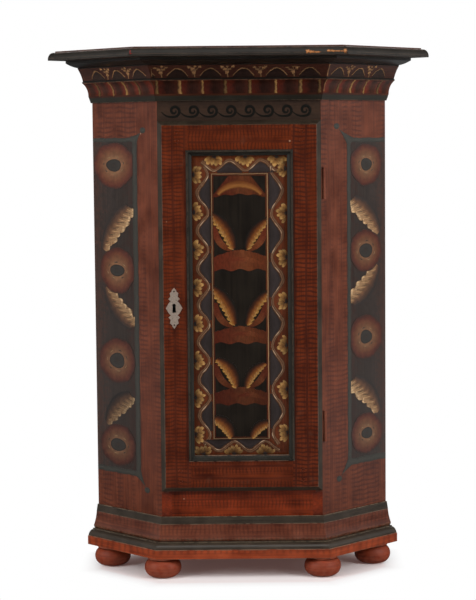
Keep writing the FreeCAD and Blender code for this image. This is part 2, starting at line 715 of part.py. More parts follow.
def door_panel():
    """Raised panel: tongue all round, sloping bevel, small shoulder and flat field."""
    tongue_front = PANEL_BACK - PANEL_TONGUE
    field_front = DOOR_FRONT + PANEL_FIELD_SET
    shoulder_y = field_front + PANEL_SHOULDER
    reach = GROOVE_DEPTH - PANEL_PLAY
    margin = MOULD_WIDTH - MOULD_LIP
    bevel_half = FRAME_HALF - margin
    bevel_bottom = FRAME_BOTTOM + margin
    bevel_top = FRAME_TOP - margin
    field_half = bevel_half - PANEL_BEVEL_SIDE
    field_z = (bevel_bottom + PANEL_BEVEL_BOTTOM, bevel_top - PANEL_BEVEL_TOP)
    plate = box((-FRAME_HALF - reach, FRAME_HALF + reach), (tongue_front, PANEL_BACK),
                (FRAME_BOTTOM - reach, FRAME_TOP + reach))
    across = [(-bevel_half, tongue_front), (bevel_half, tongue_front), (field_half, shoulder_y),
              (-field_half, shoulder_y)]
    upward = [(bevel_bottom, tongue_front), (bevel_top, tongue_front), (field_z[1], shoulder_y),
              (field_z[0], shoulder_y)]
    side_slopes = prism(across, bevel_bottom, bevel_top)
    end_slopes = outline_face(upward, lambda z, y: V(-bevel_half, y, z)).extrude(V(2 * bevel_half, 0, 0))
    field = box((-field_half, field_half), (field_front, shoulder_y), field_z)
    return {"door_panel": fused([plate, side_slopes.common(end_slopes), field])}


def panel_mouldings():
    """Four mitred lengths of bolection moulding that lap over the frame and stand on the panel."""
    inner = MOULD_WIDTH - MOULD_LIP
    crest = DOOR_FRONT - MOULD_PROUD
    foot = PANEL_BACK - PANEL_TONGUE - PANEL_CLEARANCE
    section = [
        (MOULD_LIP, DOOR_FRONT),
        (0, DOOR_FRONT),
        (0, foot),
        (-inner, foot),
        (-inner, foot - MOULD_FACE),
        (0, crest, -MOULD_ROUND_RISE),
        (MOULD_LIP - MOULD_EDGE, crest),
        (MOULD_LIP, DOOR_FRONT - MOULD_EDGE),
    ]
    upright = outline_face(section, lambda out, y: V(FRAME_HALF + out, y, 0)).extrude(V(0, 0, TOTAL_HEIGHT))
    level = outline_face(section, lambda out, y: V(-FAR, y, FRAME_TOP + out)).extrude(V(2 * FAR, 0, 0))
    near, wide = FRAME_HALF - inner, FRAME_HALF + MOULD_LIP
    low, lowest = FRAME_BOTTOM + inner, FRAME_BOTTOM - MOULD_LIP
    high, highest = FRAME_TOP - inner, FRAME_TOP + MOULD_LIP
    right_zone = front_prism([(near, low), (wide, lowest), (wide, highest), (near, high)], crest, foot)
    top_zone = front_prism([(near, high), (wide, highest), (-wide, highest), (-near, high)], crest, foot)
    right = upright.common(right_zone).Solids[0]
    top = level.common(top_zone).Solids[0]
    return {
        "panel_moulding_right": right,
        "panel_moulding_left": mirrored(right),
        "panel_moulding_top": top,
        "panel_moulding_bottom": top.mirror(V(0, 0, (FRAME_BOTTOM + FRAME_TOP) / 2), V(0, 0, 1)),
    }


# Hinges

def door_leaf_plate(middle, grow=0.0):
    """Door leaf let into the back of the hinge stile; grown, it is the recess."""
    x_range = (DOOR_HALF - DOOR_LEAF_WIDTH - grow, HINGE_X - KNUCKLE_RADIUS - KNUCKLE_GAP)
    y_range = (DOOR_BACK - LEAF_THICKNESS, DOOR_BACK)
    return box(x_range, y_range, (middle - HINGE_LENGTH / 2 - grow, middle + HINGE_LENGTH / 2 + grow))


def frame_leaf_plate(middle, grow=0.0):
    """Frame leaf let into the squared front edge of the right side board; grown, it is the recess."""
    x_range = (OPENING_HALF + LEAF_MARGIN - grow, HINGE_X - KNUCKLE_RADIUS - KNUCKLE_GAP)
    y_range = (0, LEAF_THICKNESS)
    return box(x_range, y_range, (middle - HINGE_LENGTH / 2 - grow, middle + HINGE_LENGTH / 2 + grow))


def knuckle(y_range, heights):
    """Rolled knuckle with the tab that joins it to its leaf."""
    roll = Part.makeCylinder(KNUCKLE_RADIUS, heights[1] - heights[0], V(HINGE_X, HINGE_Y, heights[0]))
    tab = box((HINGE_X - KNUCKLE_RADIUS - KNUCKLE_GAP, HINGE_X), y_range, heights)
    return fused([roll, tab])


def hinges():
    """Butt hinges: a frame leaf with two knuckles, a door leaf with one, and a headed pin."""
    pieces = {}
    for level, middle in HINGE_MIDDLES.items():
        low = middle - HINGE_LENGTH / 2
        high = middle + HINGE_LENGTH / 2
        inner = KNUCKLE_LENGTH / 2
        bore_radius = HINGE_PIN_RADIUS + HINGE_PIN_CLEARANCE
        bore = Part.makeCylinder(bore_radius, HINGE_LENGTH, V(HINGE_X, HINGE_Y, low))
        frame_y = (0, LEAF_THICKNESS)
        frame = fused([frame_leaf_plate(middle), knuckle(frame_y, (low, middle - inner - KNUCKLE_GAP)),
                       knuckle(frame_y, (middle + inner + KNUCKLE_GAP, high))])
        pieces[f"hinge_{level}_frame_leaf"] = cut_away(frame, [bore] + nail_spaces(frame_leaf_nails()))
        door = fused([door_leaf_plate(middle),
                      knuckle((DOOR_BACK - LEAF_THICKNESS, DOOR_BACK), (middle - inner, middle + inner))])
        pieces[f"hinge_{level}_door_leaf"] = cut_away(door, [bore] + nail_spaces(door_leaf_nails()))
        head_top = HINGE_LENGTH + HINGE_PIN_HEAD_HEIGHT
        pin = [
            (0, 0),
            (HINGE_PIN_RADIUS, 0),
            (HINGE_PIN_RADIUS, HINGE_LENGTH),
            (HINGE_PIN_HEAD_RADIUS, HINGE_LENGTH),
            (HINGE_PIN_RADIUS, head_top, HINGE_PIN_HEAD_SWELL),
            (0, head_top),
        ]
        pieces[f"hinge_{level}_pin"] = turned(pin, V(HINGE_X, HINGE_Y, low), V(0, 0, 1))
    return pieces


# Lock

def keyhole(front, back):
    """Keyhole through a thickness: a round eye over a slot that widens to its foot."""
    eye = Part.makeCylinder(KEYHOLE_RADIUS, back - front, V(KEY_X, front, KEY_Z), V(0, 1, 0))
    foot_z = DOOR_MIDDLE - KEYHOLE_DEPTH
    corners = [(-KEYHOLE_FOOT / 2, foot_z), (KEYHOLE_FOOT / 2, foot_z), (KEYHOLE_WAIST / 2, KEY_Z),
               (-KEYHOLE_WAIST / 2, KEY_Z)]
    return fused([eye, front_prism([(KEY_X + x, z) for x, z in corners], front, back)])


def plate_pin_solids(grow=0.0):
    """Round-headed pins of the escutcheon; grown, they are the holes for them."""
    head = [(0, -PLATE_PIN_HEAD_RISE), (PLATE_PIN_HEAD_RADIUS, 0, PLATE_PIN_HEAD_SWELL)]
    shank = [(PLATE_PIN_RADIUS + grow, 0), (PLATE_PIN_RADIUS + grow, PLATE_PIN_LENGTH + grow),
             (0, PLATE_PIN_LENGTH + grow)]
    front = DOOR_FRONT - PLATE_THICKNESS
    heights = (DOOR_MIDDLE - PLATE_PIN_HEIGHT, DOOR_MIDDLE + PLATE_PIN_HEIGHT)
    return [turned(head + shank, V(KEY_X, front, z), V(0, 1, 0)) for z in heights]


def escutcheon():
    """Pierced and notched lock plate with two round-headed pins."""
    right = PLATE_OUTLINE + [(x, -z) for x, z in reversed(PLATE_OUTLINE[:-1])]
    outline = right + [(-x, z) for x, z in reversed(right[1:-1])]
    front = DOOR_FRONT - PLATE_THICKNESS
    plate = front_prism([(KEY_X + x, DOOR_MIDDLE + z) for x, z in outline], front, DOOR_FRONT)
    plate = cut_away(plate, [keyhole(front, DOOR_FRONT)] + plate_pin_solids(NAIL_CLEARANCE))
    return {"escutcheon": plate, "escutcheon_pins": Part.makeCompound(plate_pin_solids())}


def lock_case():
    """Iron lock case, open towards the door, with two nailed flanges and a stud that guides the bolt."""
    right = LOCK_LEFT + LOCK_WIDTH
    low = DOOR_MIDDLE - LOCK_HEIGHT / 2
    high = DOOR_MIDDLE + LOCK_HEIGHT / 2
    cover = LOCK_REAR - LOCK_WALL
    shell = box((LOCK_LEFT, right), (DOOR_BACK, LOCK_REAR), (low, high))
    hollow = box((LOCK_LEFT + LOCK_WALL, right - LOCK_WALL), (DOOR_BACK, cover),
                 (low + LOCK_WALL, high - LOCK_WALL))
    flange = box((LOCK_LEFT, right), (DOOR_BACK, DOOR_BACK + LOCK_WALL),
                 (low - LOCK_FLANGE, high + LOCK_FLANGE))
    stud_y = BOLT_Y - BOLT_THICKNESS / 2 - STUD_PLAY
    stud_foot = V(STUD_X, stud_y, BOLT_BOTTOM + STUD_ABOVE_BOLT_FOOT)
    stud = Part.makeCylinder(STUD_RADIUS, cover - stud_y, stud_foot, V(0, 1, 0))
    half_slot = BOLT_THICKNESS / 2 + BOLT_FIT
    slot = box((LOCK_LEFT, LOCK_LEFT + LOCK_WALL), (BOLT_Y - half_slot, BOLT_Y + half_slot),
               (BOLT_BOTTOM - BOLT_FIT, BOLT_BOTTOM + BOLT_HEIGHT + BOLT_FIT))
    key_tip = Part.makeCylinder(KEY_TIP_RADIUS, LOCK_WALL, V(KEY_X, cover, KEY_Z), V(0, 1, 0))
    body = cut_away(shell.fuse(flange), [hollow, slot, key_tip] + nail_spaces(lock_nails()))
    return {"lock_case": fused([body, stud])}


def lock_bolt():
    """Bolt, drawn back: notched below for the key's bit and slotted for the stud."""
    y_range = (BOLT_Y - BOLT_THICKNESS / 2, BOLT_Y + BOLT_THICKNESS / 2)
    bar = box((LOCK_LEFT, LOCK_LEFT + BOLT_LENGTH), y_range, (BOLT_BOTTOM, BOLT_BOTTOM + BOLT_HEIGHT))
    notch_middle = KEY_X + BOLT_THROW / 2
    notch = box((notch_middle - BOLT_NOTCH_WIDTH / 2, notch_middle + BOLT_NOTCH_WIDTH / 2), y_range,
                (BOLT_BOTTOM, BOLT_BOTTOM + BOLT_NOTCH_HEIGHT))
    radius = STUD_RADIUS + STUD_PLAY
    z = BOLT_BOTTOM + STUD_ABOVE_BOLT_FOOT
    ends = [Part.makeCylinder(radius, BOLT_THICKNESS, V(x, y_range[0], z), V(0, 1, 0))
            for x in (STUD_X, STUD_X + BOLT_THROW)]
    middle = box((STUD_X, STUD_X + BOLT_THROW), y_range, (z - radius, z + radius))
    return {"lock_bolt": cut_away(bar, [notch, middle] + ends)}


def lock_spring():
    """Leaf spring bowed from the top of the lock case down to the bolt."""
    top = DOOR_MIDDLE + LOCK_HEIGHT / 2 - LOCK_WALL
    sag = top - BOLT_BOTTOM - BOLT_HEIGHT - SPRING_GAP
    left = LOCK_LEFT + (LOCK_WIDTH - SPRING_SPAN) / 2
    right = left + SPRING_SPAN
    section = [(left, top, -sag), (left + SPRING_THICKNESS, top),
               (right - SPRING_THICKNESS, top, sag - SPRING_THICKNESS), (right, top)]
    face = outline_face(section, lambda x, z: V(x, BOLT_Y - SPRING_WIDTH / 2, z))
    return {"lock_spring": face.extrude(V(0, SPRING_WIDTH, 0))}


def keep_plate():
    """Blank of the keep, let in flush with the left side board's squared edge."""
    x_range = (-OPENING_HALF - KEEP_THICKNESS, -OPENING_HALF)
    heights = (BOLT_MIDDLE - KEEP_HEIGHT / 2, BOLT_MIDDLE + KEEP_HEIGHT / 2)
    return box(x_range, (KEEP_MARGIN, STRIP - KEEP_MARGIN), heights)


def keep_slot():
    """Slot and pocket that the thrown bolt enters."""
    depth = BOLT_THROW - LOCK_GAP + KEEP_POCKET_SPARE
    half_slot = BOLT_THICKNESS / 2 + KEEP_PLAY
    return box((-OPENING_HALF - depth, -OPENING_HALF), (BOLT_Y - half_slot, BOLT_Y + half_slot),
               (BOLT_BOTTOM - KEEP_PLAY, BOLT_BOTTOM + BOLT_HEIGHT + KEEP_PLAY))


def ironwork_nails():
    """The keep, and the nails of all the ironwork on the cabinet and on the door."""
    return {
        "lock_keep": cut_away(keep_plate(), [keep_slot()] + nail_spaces(keep_nails())),
        "cabinet_nails": nail_group(frame_leaf_nails() + keep_nails()),
        "door_nails": nail_group(door_leaf_nails() + lock_nails()),
    }


# Whole cabinet

def cabinet():
    """Every piece by its name."""
    pieces = {"cabinet_floor": cabinet_floor()}
    makers = (feet, base_board, plinth_mouldings, side_boards, front_boards, back_planks, back_nails, shelves,
              crown_mouldings, bed_mouldings, top_board, door_frame, door_panel, panel_mouldings, hinges,
              escutcheon, lock_case, lock_bolt, lock_spring, ironwork_nails)
    for maker in makers:
        pieces.update(maker())
    return pieces


os.makedirs("parts", exist_ok=True)
for piece_name, piece in cabinet().items():
    placed = piece.copy()
    placed.translate(V(0, -MIDDLE_Y, 0))
    placed.exportStep(f"parts/{piece_name}.step")
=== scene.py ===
"""Looks of a painted corner cabinet: grained oil paint, painted ornament, ironwork, light and camera."""

from __future__ import annotations

import logging
import math
from dataclasses import dataclass, field, replace
from enum import Enum
from typing import Any, Mapping, Sequence

import bpy
import numpy as np
from bpy.types import ID, Material, Node, NodeSocket, NodeTree, Object
from mathutils import Matrix, Vector


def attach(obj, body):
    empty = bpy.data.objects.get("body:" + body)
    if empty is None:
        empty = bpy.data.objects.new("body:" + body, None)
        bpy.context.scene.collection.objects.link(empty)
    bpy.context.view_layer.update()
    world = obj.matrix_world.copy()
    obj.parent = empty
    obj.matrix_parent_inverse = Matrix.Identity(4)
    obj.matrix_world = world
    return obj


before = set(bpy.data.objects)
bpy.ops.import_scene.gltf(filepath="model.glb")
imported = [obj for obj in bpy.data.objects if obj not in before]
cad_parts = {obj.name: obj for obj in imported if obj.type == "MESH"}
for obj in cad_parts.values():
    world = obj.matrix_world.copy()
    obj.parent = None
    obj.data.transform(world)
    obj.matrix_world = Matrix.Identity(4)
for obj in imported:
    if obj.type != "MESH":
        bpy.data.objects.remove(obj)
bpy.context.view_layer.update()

log = logging.getLogger("corner_cabinet")

MM = 0.001
DIAGONAL = math.sqrt(0.5)
MITRE = math.tan(math.radians(22.5))
WAVE_PERIOD = math.pi / 10  # length of one band of Blender's wave texture at a scale of 1
PAINT_BODY = 0.22  # thickness of one coat of ornament paint, in millimetres
OIL_PAINT_IOR = 1.48  # dried linseed oil
RIGHTWARD, UPWARD, AHEAD = (1.0, 0.0, 0.0), (0.0, 0.0, 1.0), (0.0, -1.0, 0.0)
WHITE = (1.0, 1.0, 1.0, 1.0)
UNLIMITED = (-1e9, 1e9)

# Plan of the carcase, in millimetres.
FRONT_HALF = 162.5  # half the front's width
FRONT = 162.343  # distance of the front from the origin
BOARD_WIDTH = 196.0  # width of a side board

Stops = Sequence[tuple[float, str]]
Pair = tuple[float, float]
Triple = tuple[float, float, float]
Four = tuple[float, float, float, float]
Marks = Sequence[Pair]
Profile = tuple[Pair, Pair, float]
Inputs = Mapping[str | int, Any]


def linear(hex_colour: str) -> Four:
    """Turns an sRGB hex colour into linear light.

    Args:
        hex_colour: six hex digits with a leading hash.

    Returns:
        Red, green, blue and full opacity for a Blender socket.
    """
    parts = [int(hex_colour[i:i + 2], 16) / 255 for i in (1, 3, 5)]
    red, green, blue = (c / 12.92 if c <= 0.04045 else ((c + 0.055) / 1.055) ** 2.4 for c in parts)
    return red, green, blue, 1.0


def wire(tree: NodeTree, node: Node, inputs: Inputs) -> None:
    """Sets or links a node's inputs.

    Args:
        tree: the node's tree.
        node: the node.
        inputs: by input name or number, a value, a socket to link, or a node whose first output is linked.
    """
    for key, value in inputs.items():
        if isinstance(value, Node):
            value = value.outputs[0]
        if isinstance(value, NodeSocket):
            tree.links.new(value, node.inputs[key])
        else:
            node.inputs[key].default_value = value


def add(tree: NodeTree, kind: str, inputs: Inputs | None = None, stops: Stops | None = None,
        **settings: Any) -> Node:
    """Adds one node with its settings and links.

    Args:
        tree: the material's or world's node tree.
        kind: Blender's name of the node type, after ShaderNode.
        inputs: values and links, as wire takes them.
        stops: places and colours of a colour ramp.
        settings: properties of the node.

    Returns:
        The new node.
    """
    node = tree.nodes.new(f"ShaderNode{kind}")
    for name, value in settings.items():
        setattr(node.color_ramp if name == "interpolation" else node, name, value)
    wire(tree, node, inputs or {})
    if stops:
        elements = node.color_ramp.elements
        elements.remove(elements[-1])
        for index, (place, colour) in enumerate(stops):
            element = elements[0] if index == 0 else elements.new(place)
            element.position = place
            element.color = linear(colour)
    return node


def grey(amount: float) -> str:
    """Hex grey whose linear value is the amount, for masks kept in colour ramps."""
    level = 12.92 * amount if amount <= 0.0031308 else 1.055 * amount ** (1 / 2.4) - 0.055
    return "#" + f"{round(level * 255):02x}" * 3


class Run(Enum):
    """Way in which a board's grain and the painter's comb run."""

    UPRIGHT = "upright"
    LEVEL = "level"
    FLAT = "flat"

    def stretch(self, across: float, along: float) -> Triple:
        """Scale of a pattern that is fine across the board and long along it.

        Args:
            across: scale across the grain.
            along: scale along it.

        Returns:
            Scales for X, Y and Z.
        """
        return {Run.UPRIGHT: (across, across, along), Run.LEVEL: (along, along, across),
                Run.FLAT: (along, across, across)}[self]


class Spread(Enum):
    """Coordinate of a paint patch along which its colours follow each other."""

    ALONG = "along"
    ACROSS = "across"
    RADIAL = "radial"


class Face(Enum):
    """One of the three painted faces of the cabinet."""

    FRONT = "front"
    LEFT = "left"
    RIGHT = "right"

    def sign(self) -> float:
        """Side of the middle on which the face stands: -1 at the left, 1 at the right, 0 in front."""
        return {Face.LEFT: -1.0, Face.FRONT: 0.0, Face.RIGHT: 1.0}[self]


class Edge(Enum):
    """One of the four edges of the door's panel."""

    LEFT = "left"
    RIGHT = "right"
    TOP = "top"
    BOTTOM = "bottom"


def into_scene(name: str, data: ID) -> Object:
    """Puts a mesh, a lamp or a camera into the scene.

    Args:
        name: the object's name.
        data: what it shows.

    Returns:
        The new object, at the origin.
    """
    made = bpy.data.objects.new(name, data)
    bpy.context.scene.collection.objects.link(made)
    return made


def new_material(name: str) -> tuple[Material, NodeTree, Node]:
    """Starts a material.

    Args:
        name: the finish's name.

    Returns:
        The material, its node tree and its shader node.
    """
    material = bpy.data.materials.new(name)
    material.use_nodes = True
    return material, material.node_tree, material.node_tree.nodes["Principled BSDF"]


@dataclass(frozen=True)
class GrainedPaint:
    """Linseed oil paint brushed on pine and combed while wet, in bands along one direction of the piece.

    The eye sees brush streaks along the board, rows of short dark comb marks, blotches, worn arrises and a
    low varnish gloss. Bands hold (start in mm, dark hex, light hex), and the masks hold (place in mm,
    amount). An edge is a second direction that counts, moved by an offset, where it reaches further than
    the first.
    """

    name: str
    bands: Sequence[tuple[float, str, str]]
    direction: Triple
    span: Pair
    run: Run = Run.LEVEL
    comb: Marks = ((0.0, 0.0),)
    comb_mm: float = 9.0
    comb_hex: str = "#2c0f08"
    comb_bare: float = 0.34
    comb_seam: float = 0.85
    # Pale lines along the arrises: worn paint, and on the bottom panel moulding painted highlights.
    wear: Marks = ((0.0, 0.0),)
    wear_hex: str = "#8c6c56"
    roughness: float = 0.32
    edge: Triple | None = None
    edge_offset: float = 0.0
    specular: float = 0.5

    # Sizes of the brush's and the years' marks in millimetres, and streaks and strips to the metre.
    waver_mm: float = 25.0
    waver_reach: float = 0.9
    blotch_mm: float = 38.0
    chip_mm: float = 60.0
    pass_mm: float = 24.0
    rub_mm: float = 9.0
    streaks: Pair = (320.0, 9.0)
    strips: Pair = (32.0, 1.6)

    def places(self, marks: Sequence[tuple]) -> list[tuple[float, Any]]:
        """Marks with their millimetres turned into shares of the span."""
        low, high = self.span
        return [(min(1.0, max(0.0, (mark[0] - low) / (high - low))), *mark[1:]) for mark in marks]

    def make(self) -> Material:
        """Builds the material.

        Returns:
            The finished material.
        """
        material, tree, shader = new_material(self.name)
        coords = add(tree, "TexCoord").outputs["Object"]
        hand = add(tree, "TexNoise", {"Vector": coords, "Scale": 1 / (self.waver_mm * MM), "Detail": 1.0})
        level = add(tree, "VectorMath", {0: coords, 1: self.direction}, operation="DOT_PRODUCT")
        depth = level.outputs["Value"]
        if self.edge:
            other = add(tree, "VectorMath", {0: coords, 1: self.edge}, operation="DOT_PRODUCT")
            shifted = add(tree, "Math", {0: other.outputs["Value"], 1: self.edge_offset * MM})
            depth = add(tree, "Math", {0: depth, 1: shifted}, operation="MAXIMUM")
        waver = add(tree, "Math", {0: hand, 1: self.waver_reach * MM, 2: depth}, operation="MULTIPLY_ADD")
        low, high = ((end + self.waver_reach / 2) * MM for end in self.span)
        place = add(tree, "MapRange", {"Value": waver, "From Min": low, "From Max": high})
        bands = self.places(self.bands)
        dark, light = (add(tree, "ValToRGB", {0: place}, [(band[0], band[tone]) for band in bands],
                           interpolation="CONSTANT") for tone in (1, 2))
        grain = add(tree, "Mapping", {"Vector": coords, "Scale": self.run.stretch(*self.streaks)})
        streaks = add(tree, "TexNoise", {"Vector": grain, "Scale": 1.0, "Detail": 5.0})
        blotch = add(tree, "TexNoise", {"Vector": coords, "Scale": 1 / (self.blotch_mm * MM),
                                        "Detail": 4.0})
        mixed = add(tree, "Math", {0: streaks, 1: blotch}, operation="ADD")
        tone = add(tree, "MapRange", {"Value": mixed, "From Min": 0.64, "From Max": 1.36})
        paint = add(tree, "MixRGB", {"Fac": tone, "Color1": dark, "Color2": light})
        marks = self.comb_marks(tree, coords, place)
        combed = add(tree, "MixRGB", {"Fac": marks, "Color1": paint, "Color2": linear(self.comb_hex)})
        worn = self.worn_edges(tree, coords, place, combed)
        chips = add(tree, "TexVoronoi", {"Vector": coords, "Scale": 1 / (self.chip_mm * MM)})
        chipped = add(tree, "MapRange", {"Value": chips, "From Min": 0.035, "From Max": 0.022})
        colour = add(tree, "MixRGB", {"Fac": chipped, "Color1": worn, "Color2": linear(self.wear_hex)})
        gloss = add(tree, "MapRange", {"Value": blotch, "To Min": self.roughness - 0.1,
                                       "To Max": self.roughness + 0.12})
        height = add(tree, "Math", {0: streaks, 1: marks}, operation="SUBTRACT")
        bump = add(tree, "Bump", {"Height": height, "Strength": 0.22, "Distance": 0.5 * MM})
        wire(tree, shader, {"Base Color": colour, "Roughness": gloss, "Normal": bump, "IOR": OIL_PAINT_IOR,
                            "Specular IOR Level": self.specular})
        return material

    def comb_marks(self, tree: NodeTree, coords: NodeSocket, place: Node) -> Node:
        """Rows of short marks that a comb leaves across the board, and the dark seams between its passes.

        Args:
            tree: the material's node tree.
            coords: Object coordinates.
            place: place along the bands, from 0 to 1.

        Returns:
            A node whose output is 1 in a comb mark.
        """
        across = "Z" if self.run is Run.UPRIGHT else "X"
        teeth = add(tree, "TexWave", {"Vector": coords, "Scale": WAVE_PERIOD / (self.comb_mm * MM),
                                      "Distortion": 4.5, "Detail": 1.0, "Detail Scale": 0.8},
                    bands_direction=across)
        ticks = add(tree, "MapRange", {"Value": teeth, "From Min": 0.4, "From Max": 0.95})
        strips = add(tree, "Mapping", {"Vector": coords, "Scale": self.run.stretch(*self.strips)})
        strip = add(tree, "TexNoise", {"Vector": strips, "Scale": 1.0, "Detail": 1.0})
        shown = add(tree, "MapRange", {"Value": strip, "From Min": self.comb_bare,
                                       "From Max": self.comb_bare + 0.14})
        mask = add(tree, "ValToRGB", {0: place}, [(p, grey(a)) for p, a in self.places(self.comb)],
                   interpolation="CONSTANT")
        toothed = add(tree, "Math", {0: ticks, 1: shown}, operation="MULTIPLY")
        passes = add(tree, "TexWave", {"Vector": coords, "Scale": WAVE_PERIOD / (self.pass_mm * MM),
                                       "Distortion": 1.2, "Detail": 1.0, "Detail Scale": 0.5},
                     bands_direction="X" if self.run is Run.UPRIGHT else "Z")
        seams = add(tree, "MapRange", {"Value": passes, "From Min": 0.84, "To Max": self.comb_seam})
        drawn = add(tree, "Math", {0: toothed, 1: seams}, operation="MAXIMUM")
        return add(tree, "Math", {0: drawn, 1: mask}, operation="MULTIPLY")

    def worn_edges(self, tree: NodeTree, coords: NodeSocket, place: Node, paint: Node) -> Node:
        """Pale paint along the arrises: paint rubbed through to the priming, and on the bottom panel moulding
        painted highlights.

        Args:
            tree: the material's node tree.
            coords: Object coordinates.
            place: place along the bands, from 0 to 1.
            paint: the unworn colour.

        Returns:
            A node with the worn colour.
        """
        rub = add(tree, "TexNoise", {"Vector": coords, "Scale": 1 / (self.rub_mm * MM), "Detail": 4.0})
        rubbed = add(tree, "MapRange", {"Value": rub, "From Min": 0.36, "From Max": 0.54})
        edges = add(tree, "ValToRGB", {0: place}, [(p, grey(a)) for p, a in self.places(self.wear)])
        amount = add(tree, "Math", {0: rubbed, 1: edges}, operation="MULTIPLY")
        return add(tree, "MixRGB", {"Fac": amount, "Color1": paint, "Color2": linear(self.wear_hex)})


@dataclass(frozen=True)
class BrushPaint:
    """Ornament colour laid on with a loaded brush, over the patch's own UV map.

    The eye sees one stroke shading from colour to colour, hair streaks along it and a ragged edge between
    tones. Each patch's tone attribute makes it lighter or darker.
    """

    name: str
    stops: Stops
    spread: Spread = Spread.ACROSS
    ragged: float = 0.25
    hair: Pair = (3.0, 24.0)
    contrast: float = 0.3
    roughness: float = 0.34
    specular: float = 0.5
    dab_mm: float = 7.0

    def make(self) -> Material:
        """Builds the material.

        Returns:
            The finished material.
        """
        material, tree, shader = new_material(self.name)
        texture = add(tree, "TexCoord")
        flat, solid = texture.outputs["UV"], texture.outputs["Object"]
        patch = add(tree, "SeparateXYZ", {0: flat})
        if self.spread is Spread.RADIAL:
            centred = add(tree, "VectorMath", {0: flat, 1: (2, 2, 0), 2: (-1, -1, 0)},
                          operation="MULTIPLY_ADD")
            way = add(tree, "VectorMath", {0: centred}, operation="LENGTH").outputs["Value"]
        else:
            way = patch.outputs["X" if self.spread is Spread.ALONG else "Y"]
        dab = add(tree, "TexNoise", {"Vector": solid, "Scale": 1 / (self.dab_mm * MM), "Detail": 3.0})
        shift = add(tree, "Math", {0: dab, 1: self.ragged, 2: way}, operation="MULTIPLY_ADD")
        place = add(tree, "Math", {0: shift, 1: self.ragged / 2}, operation="SUBTRACT")
        colour = add(tree, "ValToRGB", {0: place}, self.stops)
        combed = add(tree, "Mapping", {"Vector": flat, "Scale": (*self.hair, 1.0)})
        hairs = add(tree, "TexNoise", {"Vector": combed, "Scale": 1.0, "Detail": 4.0})
        tone = add(tree, "Attribute", attribute_name="tone")
        streak = add(tree, "MapRange", {"Value": hairs, "From Min": 0.3, "From Max": 0.7,
                                        "To Min": 1 - self.contrast, "To Max": 1 + self.contrast})
        value = add(tree, "Math", {0: streak, 1: tone.outputs["Fac"]}, operation="MULTIPLY")
        painted = add(tree, "HueSaturation", {"Value": value, "Color": colour})
        bump = add(tree, "Bump", {"Height": hairs, "Strength": 0.25, "Distance": 0.3 * MM})
        gloss = add(tree, "MapRange", {"Value": dab, "To Min": self.roughness - 0.08,
                                       "To Max": self.roughness + 0.1})
        wire(tree, shader, {"Base Color": painted, "Roughness": gloss, "Normal": bump, "IOR": OIL_PAINT_IOR,
                            "Specular IOR Level": self.specular})
        return material


@dataclass(frozen=True)
class BarePine:
    """Hand-planed pine, never painted and browned by age.

    The eye sees long growth rings that wander round knots, grey-brown handling dirt and a dry surface with
    shallow plane tracks.
    """

    name: str
    run: Run
    dark: str = "#5d3f28"
    light: str = "#94704a"
    dirt_hex: str = "#3f3128"
    ring_mm: float = 4.0
    knot_mm: float = 70.0
    dirt_mm: float = 120.0

    def make(self) -> Material:
        """Builds the material.

        Returns:
            The finished material.
        """
        material, tree, shader = new_material(self.name)
        coords = add(tree, "TexCoord").outputs["Object"]
        drawn = add(tree, "Mapping", {"Vector": coords, "Scale": self.run.stretch(1.0, 0.06)})
        knots = add(tree, "TexNoise", {"Vector": drawn, "Scale": 1 / (self.knot_mm * MM), "Detail": 1.0,
                                       "Distortion": 0.4})
        rings = add(tree, "Math", {0: knots, 1: self.knot_mm / self.ring_mm}, operation="MULTIPLY")
        ring = add(tree, "Math", {0: rings, 1: 1.0}, operation="PINGPONG")
        fibre = add(tree, "Mapping", {"Vector": coords, "Scale": self.run.stretch(900, 22)})
        fibres = add(tree, "TexNoise", {"Vector": fibre, "Scale": 1.0, "Detail": 3.0})
        dirt = add(tree, "TexNoise", {"Vector": coords, "Scale": 1 / (self.dirt_mm * MM), "Detail": 5.0})
        tone = add(tree, "Math", {0: ring, 1: 0.55, 2: fibres}, operation="MULTIPLY_ADD")
        shade = add(tree, "MapRange", {"Value": tone, "From Min": 0.35, "From Max": 1.15})
        wood = add(tree, "MixRGB", {"Fac": shade, "Color1": linear(self.light),
                                    "Color2": linear(self.dark)})
        soiled = add(tree, "MapRange", {"Value": dirt, "From Min": 0.45, "From Max": 0.8, "To Max": 0.6})
        colour = add(tree, "MixRGB", {"Fac": soiled, "Color1": wood, "Color2": linear(self.dirt_hex)})
        rough = add(tree, "MapRange", {"Value": fibres, "To Min": 0.62, "To Max": 0.86})
        bump = add(tree, "Bump", {"Height": tone, "Strength": 0.3, "Distance": 0.4 * MM})
        wire(tree, shader, {"Base Color": colour, "Roughness": rough, "Normal": bump})
        return material


